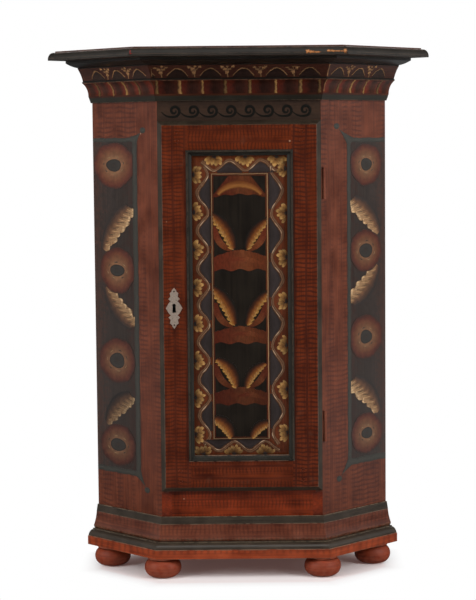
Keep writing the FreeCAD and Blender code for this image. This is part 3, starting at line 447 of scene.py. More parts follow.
@dataclass(frozen=True)
class OldIron:
    """Forged or sheet iron with what age has left on it.

    The eye sees hammer or file marks, a brighter skin of bare or tinned metal, and dull brown spots of rust.
    """

    name: str
    metal: str
    rust: str
    rusted: float
    grit_mm: float = 2.5
    roughness: float = 0.45
    spot_mm: float = 6.0

    def make(self) -> Material:
        """Builds the material.

        Returns:
            The finished material.
        """
        material, tree, shader = new_material(self.name)
        coords = add(tree, "TexCoord").outputs["Object"]
        spots = add(tree, "TexNoise", {"Vector": coords, "Scale": 1 / (self.spot_mm * MM), "Detail": 6.0,
                                       "Roughness": 0.65})
        marks = add(tree, "TexVoronoi", {"Vector": coords, "Scale": 1 / (self.grit_mm * MM)},
                    feature="SMOOTH_F1")
        edge = 0.68 - 0.3 * self.rusted
        rust = add(tree, "MapRange", {"Value": spots, "From Min": edge - 0.08, "From Max": edge + 0.1})
        skin = add(tree, "MapRange", {"Value": marks, "To Min": 0.8, "To Max": 1.15})
        bright = add(tree, "HueSaturation", {"Value": skin, "Color": linear(self.metal)})
        colour = add(tree, "MixRGB", {"Fac": rust, "Color1": bright, "Color2": linear(self.rust)})
        metallic = add(tree, "MapRange", {"Value": rust, "To Min": 0.9, "To Max": 0.1})
        rough = add(tree, "MapRange", {"Value": rust, "To Min": self.roughness, "To Max": 0.85})
        bump = add(tree, "Bump", {"Height": marks, "Strength": 0.25, "Distance": 0.2 * MM})
        wire(tree, shader, {"Base Color": colour, "Metallic": metallic, "Roughness": rough, "Normal": bump})
        return material


@dataclass(frozen=True)
class Ground:
    """A face that is painted on: flat, or hollowed like a cove or rounded like a nose by an arc across it.

    A place on it is a distance along it, a distance across it and a lift off it, in millimetres. Across a
    cove of width w and depth h, the arc of radius (w²/4 + h²) / 2h lies below the chord between its edges.
    A negative depth makes a round that lies above it.
    """

    origin: Triple
    along: Triple
    across: Triple
    left_hand: bool = False
    width: float = 0.0
    depth: float = 0.0

    def normal(self) -> np.ndarray:
        """Direction out of the painted face."""
        out = np.cross(self.along, self.across)
        return -out if self.left_hand else out

    def place(self, along: np.ndarray, across: np.ndarray, lift: np.ndarray) -> np.ndarray:
        """Turns places on the face into points.

        Args:
            along: distances along the face.
            across: distances across it.
            lift: heights of the paint over it.

        Returns:
            Points in metres, with the shape of the arguments and a last axis of three.
        """
        sink = np.zeros_like(along)
        if self.depth:
            radius = (self.width ** 2 / 4 + self.depth ** 2) / (2 * abs(self.depth))
            arc = np.sqrt(radius ** 2 - (across - self.width / 2) ** 2) - radius + abs(self.depth)
            sink = math.copysign(1.0, self.depth) * arc
        flat = np.array(self.origin) + along[..., None] * self.along + across[..., None] * self.across
        return (flat + (lift - sink)[..., None] * self.normal()) * MM


def grid(rows: int, columns: int, low: float = 0.0, high: float = 1.0) -> tuple[np.ndarray, np.ndarray]:
    """Two parameters from low to high on a grid."""
    first, second = np.meshgrid(np.linspace(low, high, rows), np.linspace(low, high, columns), indexing="ij")
    return first, second


def grid_faces(rows: int, columns: int) -> np.ndarray:
    """Corner numbers of a grid's faces, four to a row."""
    order = np.arange(rows * columns).reshape(rows, columns)
    return np.stack([order[:-1, :-1], order[1:, :-1], order[1:, 1:], order[:-1, 1:]], -1).reshape(-1, 4)


@dataclass
class PaintLayer:
    """Patches of one paint gathered into one thin piece that rides on a body."""

    name: str
    body: str
    slot: str
    paint: BrushPaint
    points: list[np.ndarray] = field(default_factory=list)
    corners: list[np.ndarray] = field(default_factory=list)
    maps: list[np.ndarray] = field(default_factory=list)
    tones: list[np.ndarray] = field(default_factory=list)
    count: int = 0

    def patch(self, ground: Ground, along: np.ndarray, across: np.ndarray, uv: tuple[np.ndarray, np.ndarray],
              lift: np.ndarray | float = 1.0, tone: float = 1.0) -> None:
        """Adds one patch, given as a grid of places on a ground.

        Args:
            ground: the face that carries it.
            along: grid of distances along the face.
            across: grid of distances across it.
            uv: grids of the patch's own two coordinates.
            lift: height of the paint over the face, in coats.
            tone: lightness of this patch against the others.
        """
        rows, columns = along.shape
        quads = grid_faces(rows, columns)
        points = ground.place(along, across, PAINT_BODY * (lift + np.zeros_like(along))).reshape(-1, 3)
        turned = self.facing(points, quads, ground.normal())
        self.points.append(points)
        self.corners.append(self.count + (quads[:, ::-1] if turned else quads))
        self.maps.append(np.stack([np.ravel(part) for part in uv], -1))
        self.tones.append(np.full(rows * columns, tone))
        self.count += rows * columns

    @staticmethod
    def facing(points: np.ndarray, quads: np.ndarray, normal: np.ndarray) -> bool:
        """True if the patch's faces, taken together, look into the ground."""
        first, second = points[quads[:, 2]] - points[quads[:, 0]], points[quads[:, 3]] - points[quads[:, 1]]
        return float((np.cross(first, second) @ normal).sum()) < 0

    def build(self) -> None:
        """Makes the piece: all patches in one mesh that rides on the body, closed behind by Solidify."""
        points = np.concatenate(self.points)
        quads = np.concatenate(self.corners)
        mesh = bpy.data.meshes.new(self.name)
        mesh.from_pydata(points, [], quads)
        layer = mesh.uv_layers.new(name="patch")
        layer.data.foreach_set("uv", np.concatenate(self.maps)[quads.ravel()].astype(np.float32).ravel())
        tone = mesh.attributes.new("tone", "FLOAT", "POINT")
        tone.data.foreach_set("value", np.concatenate(self.tones).astype(np.float32))
        mesh.materials.append(self.paint.make())
        piece = into_scene(self.name, mesh)
        body = piece.modifiers.new("body", "SOLIDIFY")
        body.thickness = 2 * PAINT_BODY * MM
        body.offset = -1.0
        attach(piece, self.body)
        log.info("%s: %d faces on %s", self.name, len(quads), self.body)


def build_all(layers: Sequence[PaintLayer]) -> None:
    """Makes the pieces of several layers, in order."""
    for layer in layers:
        layer.build()


def ribbon(layer: PaintLayer, ground: Ground, path: np.ndarray, left: np.ndarray | float,
           right: np.ndarray | float | None = None, lift: float = 1.0, tone: float = 1.0, strands: int = 7,
           limits: Pair = UNLIMITED) -> None:
    """Paints a stroke along a path: each path point is spread along the path's normal, left and right.

    The stroke is highest in its middle, by one minus the square of the share across.

    Args:
        layer: the layer that takes the patch.
        ground: the face that carries it.
        path: points (along, across) of the stroke's line.
        left: width to the left of the way it is drawn, one number or one for each point.
        right: width to the right of it, the same if not given.
        lift: height of the stroke's edge, in coats.
        tone: lightness of the stroke.
        strands: points across the stroke.
        limits: least and greatest distance along the face that the paint may reach.
    """
    way = np.gradient(path, axis=0)
    way /= np.linalg.norm(way, axis=1)[:, None] + 1e-9
    side = np.stack([-way[:, 1], way[:, 0]], -1)
    share = np.linspace(0.0, 1.0, strands)
    right = left if right is None else right
    reach = -np.outer(np.ones(len(path)) * right, 1 - share) + np.outer(np.ones(len(path)) * left, share)
    spots = path[:, None, :] + reach[..., None] * side[:, None, :]
    uv = grid(len(path), strands)
    swell = 0.5 * (1 - (2 * uv[1] - 1) ** 2)
    layer.patch(ground, np.clip(spots[..., 0], *limits), spots[..., 1], uv, lift + swell, tone)


def blob(layer: PaintLayer, ground: Ground, centre: Sequence[float], radii: Pair,
         angle: float = 0.0, lobes: int = 0, cut: float = 0.0, turn: float = 0.0, lift: float = 1.0,
         tone: float = 1.0, limits: Pair = UNLIMITED, steps: int = 25) -> None:
    """Paints a round or lobed spot: a square grid drawn into a disc, its rim waved by a cosine of the angle.

    The disc is u·sqrt(1 - v²/2), v·sqrt(1 - u²/2), which has no pole.

    Args:
        layer: the layer that takes the patch.
        ground: the face that carries it.
        centre: middle of the spot.
        radii: its two half sizes.
        angle: direction of the first half size, from the way along the face.
        lobes: number of lobes round the rim.
        cut: depth of the cuts between lobes, as a share of the radius.
        turn: angle of the first lobe.
        lift: height of the spot's rim, in coats.
        tone: lightness of the spot.
        limits: least and greatest distance along the face that the paint may reach.
        steps: points along each side of the grid.
    """
    u, v = grid(steps, steps, -1.0, 1.0)
    x = u * np.sqrt(1 - v ** 2 / 2)
    y = v * np.sqrt(1 - u ** 2 / 2)
    around = np.arctan2(y, x)
    rim = 1 - cut * (0.5 - 0.5 * np.cos(lobes * (around - turn))) + 0.02 * np.sin(3 * around + turn)
    wide, tall = radii[0] * x * rim, radii[1] * y * rim
    along = centre[0] + wide * math.cos(angle) - tall * math.sin(angle)
    across = centre[1] + wide * math.sin(angle) + tall * math.cos(angle)
    swell = 0.5 * (1 - x ** 2 - y ** 2)
    layer.patch(ground, np.clip(along, *limits), across, (0.5 + x / 2, 0.5 + y / 2), lift + swell, tone)


def sway(places: np.ndarray, seed: float) -> np.ndarray:
    """A painter's small unsteadiness, from -1 to 1: two sines of unlike length."""
    return 0.6 * np.sin(places * 0.137 + seed * 2.1) + 0.4 * np.sin(places * 0.311 + seed * 4.7)


def curve(start: Sequence[float], end: Sequence[float], bow: float, count: int) -> np.ndarray:
    """Points from start to end, bowed to the left of that way by a sine of the given height.

    Args:
        start: first point.
        end: last point.
        bow: height of the bow.
        count: number of points.

    Returns:
        The points, one row each.
    """
    share = np.linspace(0.0, 1.0, count)[:, None]
    first, last = np.array(start), np.array(end)
    way = (last - first) / np.linalg.norm(last - first)
    return first + share * (last - first) + np.sin(math.pi * share) * bow * np.array([-way[1], way[0]])


# Fine strokes on a leaf's lobe: share of its length, shift across it, thickness against the blade, lightness.
LOBE_STROKES = ((0.5, 0.9, 0.03, 0.28), (0.6, 0.35, 0.034, 1.75), (0.5, -0.25, 0.026, 1.4))


def leaf(layers: tuple[PaintLayer, PaintLayer, PaintLayer], ground: Ground, path: np.ndarray, blade: float,
         shade: float, lobes: int, lobed_left: bool, tone: float = 1.0, limits: Pair = UNLIMITED) -> None:
    """Paints an acanthus leaf along its spine: soft shading on one side, a scalloped blade on the other.

    Both widths swell as a power of a sine from foot to tip. The blade is a row of curled lobes that lean to
    the tip, each an ellipse laid over the one before it, with a dark stroke where they meet and a pale one
    along its back.

    Args:
        layers: layers for the shading, the blade and the fine strokes.
        ground: the face that carries the leaf.
        path: the leaf's spine, from foot to tip.
        blade: greatest width of the scalloped side.
        shade: greatest width of the shaded side.
        lobes: number of lobes.
        lobed_left: True if the blade is to the left of the way the spine is drawn.
        tone: lightness of the leaf.
        limits: least and greatest distance along the face that the paint may reach.
    """
    shading, blades, strokes = layers
    share = np.linspace(0.0, 1.0, len(path))
    swell = np.sin(math.pi * (0.08 + 0.8 * share)) ** 0.7
    way = np.gradient(path, axis=0)
    length = np.linalg.norm(way, axis=1).sum()
    way /= np.linalg.norm(way, axis=1)[:, None]
    out = np.stack([-way[:, 1], way[:, 0]], -1) * (1.0 if lobed_left else -1.0)
    turn = slice(None, None, -1) if lobed_left else slice(None)
    edge = blade * swell * (0.56 + 0.1 * np.sin(2 * math.pi * lobes * share))
    ribbon(shading, ground, path[turn], (shade * swell)[turn], edge[turn], lift=1.8, tone=tone, strands=15,
           limits=limits)
    for index in range(lobes):
        at = int((index + 0.45) / lobes * len(path))
        size = blade * swell[at] * (1.0 + 0.12 * math.sin(2.6 * index + length))
        lean = 0.75 * out[at] + 0.66 * way[at]
        half = 0.68 * length / lobes
        blob(blades, ground, path[at] + 0.52 * size * lean, (0.56 * size, half), math.atan2(lean[1], lean[0]),
             lobes=4, cut=0.14, turn=0.4 * index, lift=1.1 + 0.05 * index,
             tone=tone * (1.04 + 0.18 * math.sin(4.1 * index)), limits=limits, steps=13)
        back = np.array([-lean[1], lean[0]]) * (-1.0 if lobed_left else 1.0)
        for place, shift, thick, shine in LOBE_STROKES:
            start = path[at] + 0.12 * size * lean + shift * half * back
            stroke = curve(start, start + place * 1.6 * size * lean, 0.1 * half, 9)
            body = blade * thick * np.sin(math.pi * np.linspace(0.1, 0.9, 9))
            ribbon(strokes, ground, stroke, body, lift=2.4, tone=tone * shine, strands=3, limits=limits)


RED_DARK, RED_LIGHT = "#350f03", "#682808"
GREEN_DARK, GREEN_LIGHT = "#201a14", "#3c3228"
BLACK_DARK, BLACK_LIGHT = "#120f0c", "#241f1a"
WINE_DARK, WINE_LIGHT = "#240f0a", "#44200f"
BARE_BAND = (-1000.0, "#664730", "#8a6844")

LEAF_SHADE = BrushPaint(
    "ochre_leaf_shading",
    ((0.0, "#8c6c4c"), (0.22, "#7c5c3e"), (0.42, "#684830"), (0.56, "#523726"), (0.74, "#3c2a21"),
     (0.9, "#28211e")),
    ragged=0.22)
LEAF_LOBE = BrushPaint(
    "ochre_leaf_curls",
    ((0.0, "#503620"), (0.3, "#6e4e33"), (0.6, "#8a6a48"), (0.82, "#bc9c74"), (1.0, "#543a26")),
    Spread.ALONG, ragged=0.3, hair=(2.0, 12.0), contrast=0.4)
DOOR_LEAF_SHADE = BrushPaint(
    "ochre_leaf_shading_on_door",
    ((0.0, "#86602c"), (0.15, "#7a4e1e"), (0.34, "#683a15"), (0.5, "#4c260e"), (0.68, "#32190d"),
     (0.86, "#1c140e"), (1.0, "#15120f")),
    ragged=0.22, specular=0.3)
DOOR_LEAF_LOBE = BrushPaint(
    "ochre_leaf_curls_on_door",
    ((0.0, "#64421a"), (0.35, "#7c5522"), (0.7, "#946e34"), (1.0, "#543414")),
    Spread.ALONG, ragged=0.3, hair=(2.0, 8.0), specular=0.3)
ROSETTE = BrushPaint(
    "rosette_paint",
    ((0.0, "#785638"), (0.4, "#6c4a32"), (0.56, "#603c26"), (0.74, "#562e1d"), (0.88, "#4a2116"),
     (1.0, "#351f18")),
    Spread.RADIAL, ragged=0.24, hair=(9.0, 9.0), contrast=0.2)
CORE = BrushPaint(
    "green_black_core_paint",
    ((0.0, "#30241d"), (0.3, "#292420"), (0.8, "#2d2823"), (1.0, "#201c18")),
    Spread.RADIAL, contrast=0.2)
VINE = BrushPaint(
    "vine_paint",
    ((0.0, "#2c1a12"), (0.2, "#68492f"), (0.4, "#4c3222"), (0.7, "#604129"), (0.86, "#402818"),
     (1.0, "#2a1810")),
    ragged=0.5, contrast=0.5, specular=0.3)
VINE_LIGHT = BrushPaint(
    "vine_highlight_paint",
    ((0.0, "#765844"), (0.5, "#a08a70"), (1.0, "#7a5c48")),
    ragged=0.5, contrast=0.6)
TENDRIL = BrushPaint(
    "tendril_paint",
    ((0.0, "#4a3018"), (0.4, "#7c5a38"), (0.7, "#6c4c30"), (1.0, "#3c2614")),
    ragged=0.6, hair=(6.0, 10.0), contrast=0.5, specular=0.2)
CLUSTER = BrushPaint(
    "border_leaf_paint",
    ((0.0, "#40260f"), (0.25, "#664422"), (0.55, "#7e5a2e"), (0.8, "#9c7846"), (0.92, "#80603a"),
     (1.0, "#3a2412")),
    Spread.ALONG, ragged=0.36, hair=(3.0, 10.0), contrast=0.4, specular=0.3)
LINE = BrushPaint(
    "cream_line_paint",
    ((0.0, "#4a3420"), (0.4, "#806444"), (0.7, "#8c704e"), (1.0, "#4c3622")),
    ragged=0.5)
GREEN_LINE = BrushPaint(
    "green_line_paint",
    ((0.0, "#2b2924"), (0.5, "#35332d"), (1.0, "#2a2823")),
    ragged=0.6, contrast=0.16)
DARK_FIELD = BrushPaint(
    "dark_field_paint",
    ((0.0, "#2e1d17"), (0.3, "#29201b"), (0.7, "#2d2420"), (1.0, "#3a251d")),
    ragged=1.1, hair=(4.0, 30.0), contrast=0.24)
HALF_MOON = BrushPaint(
    "blue_black_paint",
    ((0.0, "#251d1b"), (0.5, "#2a2322"), (1.0, "#231b18")),
    ragged=0.5, contrast=0.24, specular=0.3)
MOUND = BrushPaint(
    "rust_mound_paint",
    ((0.0, "#421608"), (0.35, "#471d0d"), (0.55, "#502914"), (0.75, "#48210d"), (1.0, "#401b0a")),
    Spread.ALONG, ragged=0.34, hair=(26.0, 3.0), contrast=0.28, specular=0.3)
ARCH = BrushPaint(
    "orange_arch_paint",
    ((0.0, "#50290f"), (0.3, "#7a4e24"), (0.55, "#6a3f1c"), (0.8, "#5c3214"), (1.0, "#46200c")),
    ragged=0.24, specular=0.3)
BLOCK = BrushPaint(
    "red_block_paint",
    ((0.0, "#4c1a0d"), (0.22, "#40160b"), (0.48, "#231009"), (0.72, "#2c140c"), (1.0, "#401c10")),
    Spread.ALONG, ragged=0.3, hair=(20.0, 3.0), specular=0.2)
BAR = BrushPaint(
    "gold_bar_paint",
    ((0.0, "#523618"), (0.3, "#84643a"), (0.6, "#6c4c2a"), (1.0, "#28180c")),
    ragged=0.6, contrast=0.6, specular=0.2)
CORNICE_MOON = BrushPaint(
    "brown_black_paint_on_cornice",
    ((0.0, "#22140e"), (0.5, "#2a1912"), (1.0, "#20120c")),
    ragged=0.6, contrast=0.3, specular=0.2)
FRIEZE_GROUND = BrushPaint(
    "dark_frieze_paint",
    ((0.0, "#332720"), (0.5, "#3a2a20"), (1.0, "#2c2019")),
    ragged=0.8, hair=(9.0, 26.0), contrast=0.2, specular=0.25)
CHIP = BrushPaint(
    "bare_pine_under_chipped_paint",
    ((0.0, "#b47e52"), (0.6, "#9c663a"), (1.0, "#56301a")),
    Spread.RADIAL, ragged=0.6, contrast=0.4, specular=0.2)
RUBBED = replace(
    CHIP, name="red_ground_under_rubbed_paint",
    stops=((0.0, "#7c2a26"), (0.6, "#66211c"), (1.0, "#3a1612")))
RAIL_END = BrushPaint(
    "red_paint_over_board_ends",
    ((0.0, "#4a1808"), (0.5, "#70280c"), (1.0, "#581f0d")),
    ragged=0.9, hair=(3.0, 30.0), contrast=0.3, specular=0.3)
SCROLL = BrushPaint(
    "black_scroll_paint",
    ((0.0, "#100f0c"), (0.5, "#151410"), (1.0, "#0e0d0a")),
    ragged=0.5, specular=0.25)


@dataclass
class SideBoard:
    """Painted field of one canted side board, measured from its front arris and from the floor."""

    side: Face
    line: float
    top: float
    bottom: float
    dots: tuple[Pair, Pair]
    # Rosettes: centre, half sizes of the disc, half sizes of its core.
    rosettes: Sequence[tuple[Pair, Pair, Pair]]
    # Leaves: foot, tip, width of the blade, whether the lobes are on the left, lightness.
    leaves: Sequence[tuple[Pair, Pair, float, bool, float]]
    # Lightness of the first rosette, and what each later one loses.
    fade: Pair
    width: float = BOARD_WIDTH
    line_width: float = 14.5
    level_half: Pair = (4.2, 5.6)
    edge: float = 0.6
    leaf_bow: float = 7.0
    leaf_shade: float = 24.0
    leaf_lobes: int = 7
    horn_half: float = 13.0
    dot_radii: Pair = (8.0, 6.0)

    def ground(self) -> Ground:
        """The board's outer face.

        Returns:
            The face, measured along from the front arris and across from the floor.
        """
        sign = self.side.sign()
        return Ground((sign * FRONT_HALF, -FRONT, 0.0), (sign * DIAGONAL, DIAGONAL, 0.0), UPWARD,
                      left_hand=sign < 0)

    def layer(self, name: str, paint: BrushPaint) -> PaintLayer:
        """A layer of paint on this board."""
        return PaintLayer(f"side_{self.side.value}_{name}", "cabinet", "painted_boards", paint)

    def build(self) -> None:
        """Paints the dark field, its green line, the rosettes and the leaves."""
        ground = self.ground()
        outer = self.width - self.edge
        self.dark_field(ground, outer)
        self.green_line(ground, outer)
        limits = (self.line + self.line_width / 2 - 1.5, outer)
        self.flowers(ground, limits)
        leaves = (self.layer("leaf_shading", LEAF_SHADE), self.layer("leaf_blades", LEAF_LOBE),
                  self.layer("leaf_strokes", LINE))
        for foot, tip, blade, lobed_left, tone in self.leaves:
            path = curve(foot, tip, -self.leaf_bow if lobed_left else self.leaf_bow, 120)
            leaf(leaves, ground, path, blade, self.leaf_shade, self.leaf_lobes, lobed_left, tone, limits)
        build_all(leaves)

    def flowers(self, ground: Ground, limits: Pair) -> None:
        """Rosettes, each a shaded disc with a dark core and short strokes of the brush round it.

        Args:
            ground: the board's face.
            limits: least and greatest distance from the arris that the paint may reach.
        """
        discs = self.layer("rosettes", ROSETTE)
        cores = self.layer("rosette_cores", CORE)
        pale = self.layer("rosette_strokes", LINE)
        for index, (centre, size, core) in enumerate(self.rosettes):
            blob(discs, ground, centre, size, lobes=7, cut=0.03, turn=0.7 * index, lift=2.8,
                 tone=self.fade[0] - self.fade[1] * index, limits=limits, steps=41)
            blob(cores, ground, centre, core, lobes=3, cut=0.06, turn=index, lift=3.6, steps=21)
            for number in range(7):
                turn = 0.9 * number + 1.3 * index
                spots = [np.array(centre) + np.array(core) * 1.3 * np.array([math.cos(a), math.sin(a)])
                         for a in (turn, turn + 0.34)]
                stroke = curve(spots[0], spots[1], -0.8, 12)
                thick = 1.1 * np.sin(math.pi * np.linspace(0.08, 0.95, 12))
                ribbon(pale if number % 3 else cores, ground, stroke, thick, lift=3.6, tone=0.9, strands=5,
                       limits=limits)
        build_all((discs, cores, pale))

    def dark_field(self, ground: Ground, outer: float) -> None:
        """Dark sheet behind the flowers.

        Args:
            ground: the board's face.
            outer: distance from the arris at which the paint ends.
        """
        field_layer = self.layer("field", DARK_FIELD)
        up, across = grid(60, 9)
        height = self.bottom + up * (self.top - self.bottom)
        field_layer.patch(ground, self.line + across * (outer - self.line), height, (up, across), 0.5)
        field_layer.build()

    def green_line(self, ground: Ground, outer: float) -> None:
        """Green line round the field, and at both inner corners a horn that points to a dot.

        A horn's width falls by the power 1.5 of the way to its tip, so that its sides are hollow.

        Args:
            ground: the board's face.
            outer: distance from the arris at which the paint ends.
        """
        lines = self.layer("lines", GREEN_LINE)
        heights = np.linspace(self.bottom, self.top, 80)
        upright = np.stack([self.line + 0.8 * sway(heights, self.line), heights], -1)
        half = self.line_width / 2
        ribbon(lines, ground, upright, half)
        for height, dot, thick in ((self.top, self.dots[0], self.level_half[0]),
                                   (self.bottom, self.dots[1], self.level_half[1])):
            along = np.linspace(outer, self.line, 70)
            path = np.stack([along, height + 0.7 * sway(along, height)], -1)
            ribbon(lines, ground, path, thick, lift=1.15)
            corner, way = np.array([self.line, height]), np.array(dot) - (self.line, height)
            horn = curve(corner - 0.2 * way, corner + 0.82 * way, 0.0, 40)
            wide = self.horn_half * np.linspace(1.0, 0.05, 40) ** 1.5
            ribbon(lines, ground, horn, wide, lift=1.3)
            blob(lines, ground, dot, self.dot_radii, lift=1.3, steps=13)
        lines.build()


@dataclass
class DoorPanel:
    """Ornament of the door's raised panel: border vines on the bevel, leaves and mounds on the field."""

    inner_half: float = 94.5
    low: float = 249.5
    high: float = 848.5
    field_half: float = 56.5
    field_low: float = 282.5
    field_high: float = 813.5
    bevel_back: float = 174.343
    bevel_front: float = 180.343
    field_face: float = 182.343
    inside: float = 53.2
    mounds: Sequence[Pair] = ((662.0, 622.0), (510.0, 476.0), (388.0, 353.0))
    leaf_pairs: Sequence[tuple[Pair, Pair]] = (((62, 733), (16, 663)), ((62, 588), (15, 512)),
                                               ((50, 442), (12, 387)), ((62, 323), (22, 285)))
    # Length of the vine's waves along each edge, and the place of one bulge from the edge's middle.
    waves: Mapping[Edge, Pair] = field(default_factory=lambda: {
        Edge.LEFT: (74.2, 225.0), Edge.RIGHT: (88.0, 229.0),
        Edge.TOP: (62.0, -19.0), Edge.BOTTOM: (62.0, 16.0)})
    vine_middle: float = 0.56
    vine_swing: float = 0.28

    def layer(self, name: str, paint: BrushPaint) -> PaintLayer:
        """A layer of paint on the panel."""
        return PaintLayer(f"panel_{name}", "door", "painted_panel", paint)

    def bevel(self, edge: Edge) -> tuple[Ground, float, float]:
        """One slope of the bevel.

        Args:
            edge: the panel's edge that the slope falls to.

        Returns:
            The slope's ground, its width, and half the length of its outer edge.
        """
        middle = (self.low + self.high) / 2
        tall = (self.high - self.low) / 2
        run = {Edge.TOP: self.high - self.field_high,
               Edge.BOTTOM: self.field_low - self.low}.get(edge, self.inner_half - self.field_half)
        width = math.hypot(run, self.bevel_front - self.bevel_back)
        inward, forward = run / width, -(self.bevel_front - self.bevel_back) / width
        back = -self.bevel_back
        sign = 1.0 if edge in (Edge.RIGHT, Edge.TOP) else -1.0
        if edge in (Edge.LEFT, Edge.RIGHT):
            return Ground((sign * self.inner_half, back, middle), UPWARD, (-sign * inward, forward, 0.0),
                          left_hand=sign < 0), width, tall
        return Ground((0.0, back, self.high if sign > 0 else self.low), RIGHTWARD,
                      (0.0, forward, -sign * inward), left_hand=sign > 0), width, self.inner_half

    def vine(self, phase: np.ndarray) -> np.ndarray:
        """Share of the slope's width at which the vine lies."""
        return self.vine_middle - self.vine_swing * np.cos(phase)

    def build(self) -> None:
        """Paints the panel."""
        face = Ground((0.0, -self.field_face, 0.0), RIGHTWARD, UPWARD)
        self.border()
        self.field_line(face)
        self.field_shapes(face)
        self.field_leaves(face)

    def border(self) -> None:
        """Wavy vine round the bevel, hands of leaves outside its waves and half-moons inside them.

        The vine waves as a cosine across the slope, and a half-moon fills the slope from it to the field.
        """
        vines = self.layer("border_vine", VINE)
        lights = self.layer("border_vine_lights", VINE_LIGHT)
        leaves = self.layer("border_leaves", CLUSTER)
        dark = self.layer("border_half_moons", HALF_MOON)
        for edge, (period, first) in self.waves.items():
            ground, width, half = self.bevel(edge)
            reach = half - 0.55 * width
            places = np.linspace(-reach, reach, 260)
            phase = 2 * math.pi * (places - first) / period
            path = np.stack([places, width * self.vine(phase) + 0.6 * sway(places, first)], -1)
            thick = 3.7 + 0.8 * np.sin(phase + 0.8)
            ribbon(vines, ground, path, thick, lift=1.5)
            light = 0.05 + 1.2 * np.maximum(sway(places * 1.1, first), 0.0)
            ribbon(lights, ground, path + (0.0, 1.3), light, lift=2.3, strands=5)
            bulges = first + period * np.arange(-12, 13)
            for index, place in enumerate(bulges[np.abs(bulges) < reach - 0.2 * period]):
                share, deep = grid(25, 7)
                turn = (2 * share - 1) * 0.4 * period
                upper = 0.97 * width
                lower = np.minimum(width * self.vine(2 * math.pi * turn / period), upper - 0.4)
                dark.patch(ground, place + turn, lower + deep * (upper - lower), (share, deep),
                           tone=1.0 + 0.15 * (index % 2))
            midway = bulges + period / 2
            for index, place in enumerate(midway[np.abs(midway) < half - 0.45 * width]):
                self.hand(leaves, dark, ground, place, width, index, 0.66 if edge is Edge.BOTTOM else 1.0)
        build_all((dark, vines, lights, leaves))

    def hand(self, leaves: PaintLayer, dark: PaintLayer, ground: Ground, place: float, width: float,
             index: int, tone: float) -> None:
        """Hand of gold leaves that opens from a dark spot beside the panel's moulding.

        Args:
            leaves: layer for the leaves.
            dark: layer for the spot.
            ground: the slope of the bevel.
            place: distance along it.
            width: the slope's width.
            index: number of the hand, which changes its fingers a little.
            tone: lightness of the hand.
        """
        root = np.array([place, 0.1 * width])
        for finger, angle in enumerate(np.linspace(-1.3, 1.3, 6)):
            reach = 10.0 + 2.4 * math.sin(2.1 * finger + 1.7 * index)
            middle = root + reach * np.array([1.25 * math.sin(angle), math.cos(angle)])
            blob(leaves, ground, middle, (8.6, 4.6 + 0.8 * math.sin(3.1 * finger + index)),
                 math.pi / 2 - 0.8 * angle, lobes=3, cut=0.16, lift=1.2 + 0.12 * ((finger * 2) % 5),
                 tone=tone * (0.94 + 0.22 * math.sin(1.7 * finger + 2.3 * index)),
                 limits=(place - 20.0, place + 20.0), steps=15)
        blob(dark, ground, root, (5.0, 3.2), lift=1.2, steps=11)

    def field_line(self, face: Ground) -> None:
        """Cream line round the edge of the raised field and a rust line inside it.

        Args:
            face: the raised field.
        """
        for name, paint, inset, thick in (("field_line", LINE, 1.2, 0.8),
                                          ("field_rust_line", MOUND, 3.5, 1.2)):
            lines = self.layer(name, paint)
            half, low, high = self.field_half - inset, self.field_low + inset, self.field_high - inset
            heights = np.linspace(low - thick, high + thick, 120)
            across = np.linspace(-half - thick, half + thick, 60)
            for sign, height, tone in ((-1.0, low, 0.6), (1.0, high, 0.9)):
                upright = np.stack([sign * half + 0.25 * sway(heights, sign), heights], -1)
                level = np.stack([across, height + 0.25 * sway(across, height)], -1)
                broad = thick * (1.3 + 0.3 * sign + 0.2 * sway(heights, 3.0 + sign))
                ribbon(lines, face, upright, broad, thick, tone=1.0 + 0.12 * sign)
                ribbon(lines, face, level, thick, lift=1.15, tone=tone)
            lines.build()

    def field_shapes(self, face: Ground) -> None:
        """Arch at the head of the field, the rust mounds down it and the rust tongues at its edges.

        A mound's upper edge falls by the power 1.5 of the distance from the middle, and its lower edge is a
        wave.

        Args:
            face: the raised field.
        """
        rust = self.layer("mounds", MOUND)
        band = self.layer("arch", ARCH)
        across, up = grid(61, 11)
        place = (2 * across - 1) * self.inside
        share = np.abs(place) / self.inside
        for index, (crest, foot) in enumerate(self.mounds):
            upper = crest - 0.36 * (crest - foot) * share ** 1.5 + 0.9 * sway(place * 3, index)
            lower = foot + 0.06 * (crest - foot) * np.cos(3 * math.pi * place / self.inside + 0.8 * index)
            rust.patch(face, place, lower + up * (upper - lower), (across, up), tone=1.3 - 0.25 * index)
            tall = crest - foot
            gleam = curve((-24.0 + 8 * index, foot + 0.45 * tall), (46.0, foot + 0.26 * tall), 6.0, 40)
            fade = 4.0 * np.sin(math.pi * np.linspace(0.04, 0.96, 40))
            ribbon(rust, face, gleam, 1.5 * fade, fade, lift=1.4, tone=1.5 - 0.25 * index)
            for sign in (-1.0, 1.0):
                self.tongue(rust, face, sign, crest, 1.35 - 0.2 * index)
        upper = 808.0 - 38.0 * np.clip((share - 0.42) / 0.58, 0.0, 1.0)
        lower = 767.0 + 5.0 * (1 - share ** 2) + 1.4 * np.cos(3.5 * math.pi * place / self.inside)
        rust.patch(face, place, lower + up * np.maximum(upper - lower, 0.4), (across, up), tone=1.0)
        turn = np.linspace(-1.0, 1.0, 60)
        arch = np.stack([43.0 * turn, 772.0 + 19.5 * (1 - turn ** 2) ** 0.8], -1)
        ribbon(band, face, arch, 8.5 - 4.5 * turn ** 2, 7.0 - 3.0 * turn ** 2, lift=1.5)
        build_all((rust, band))

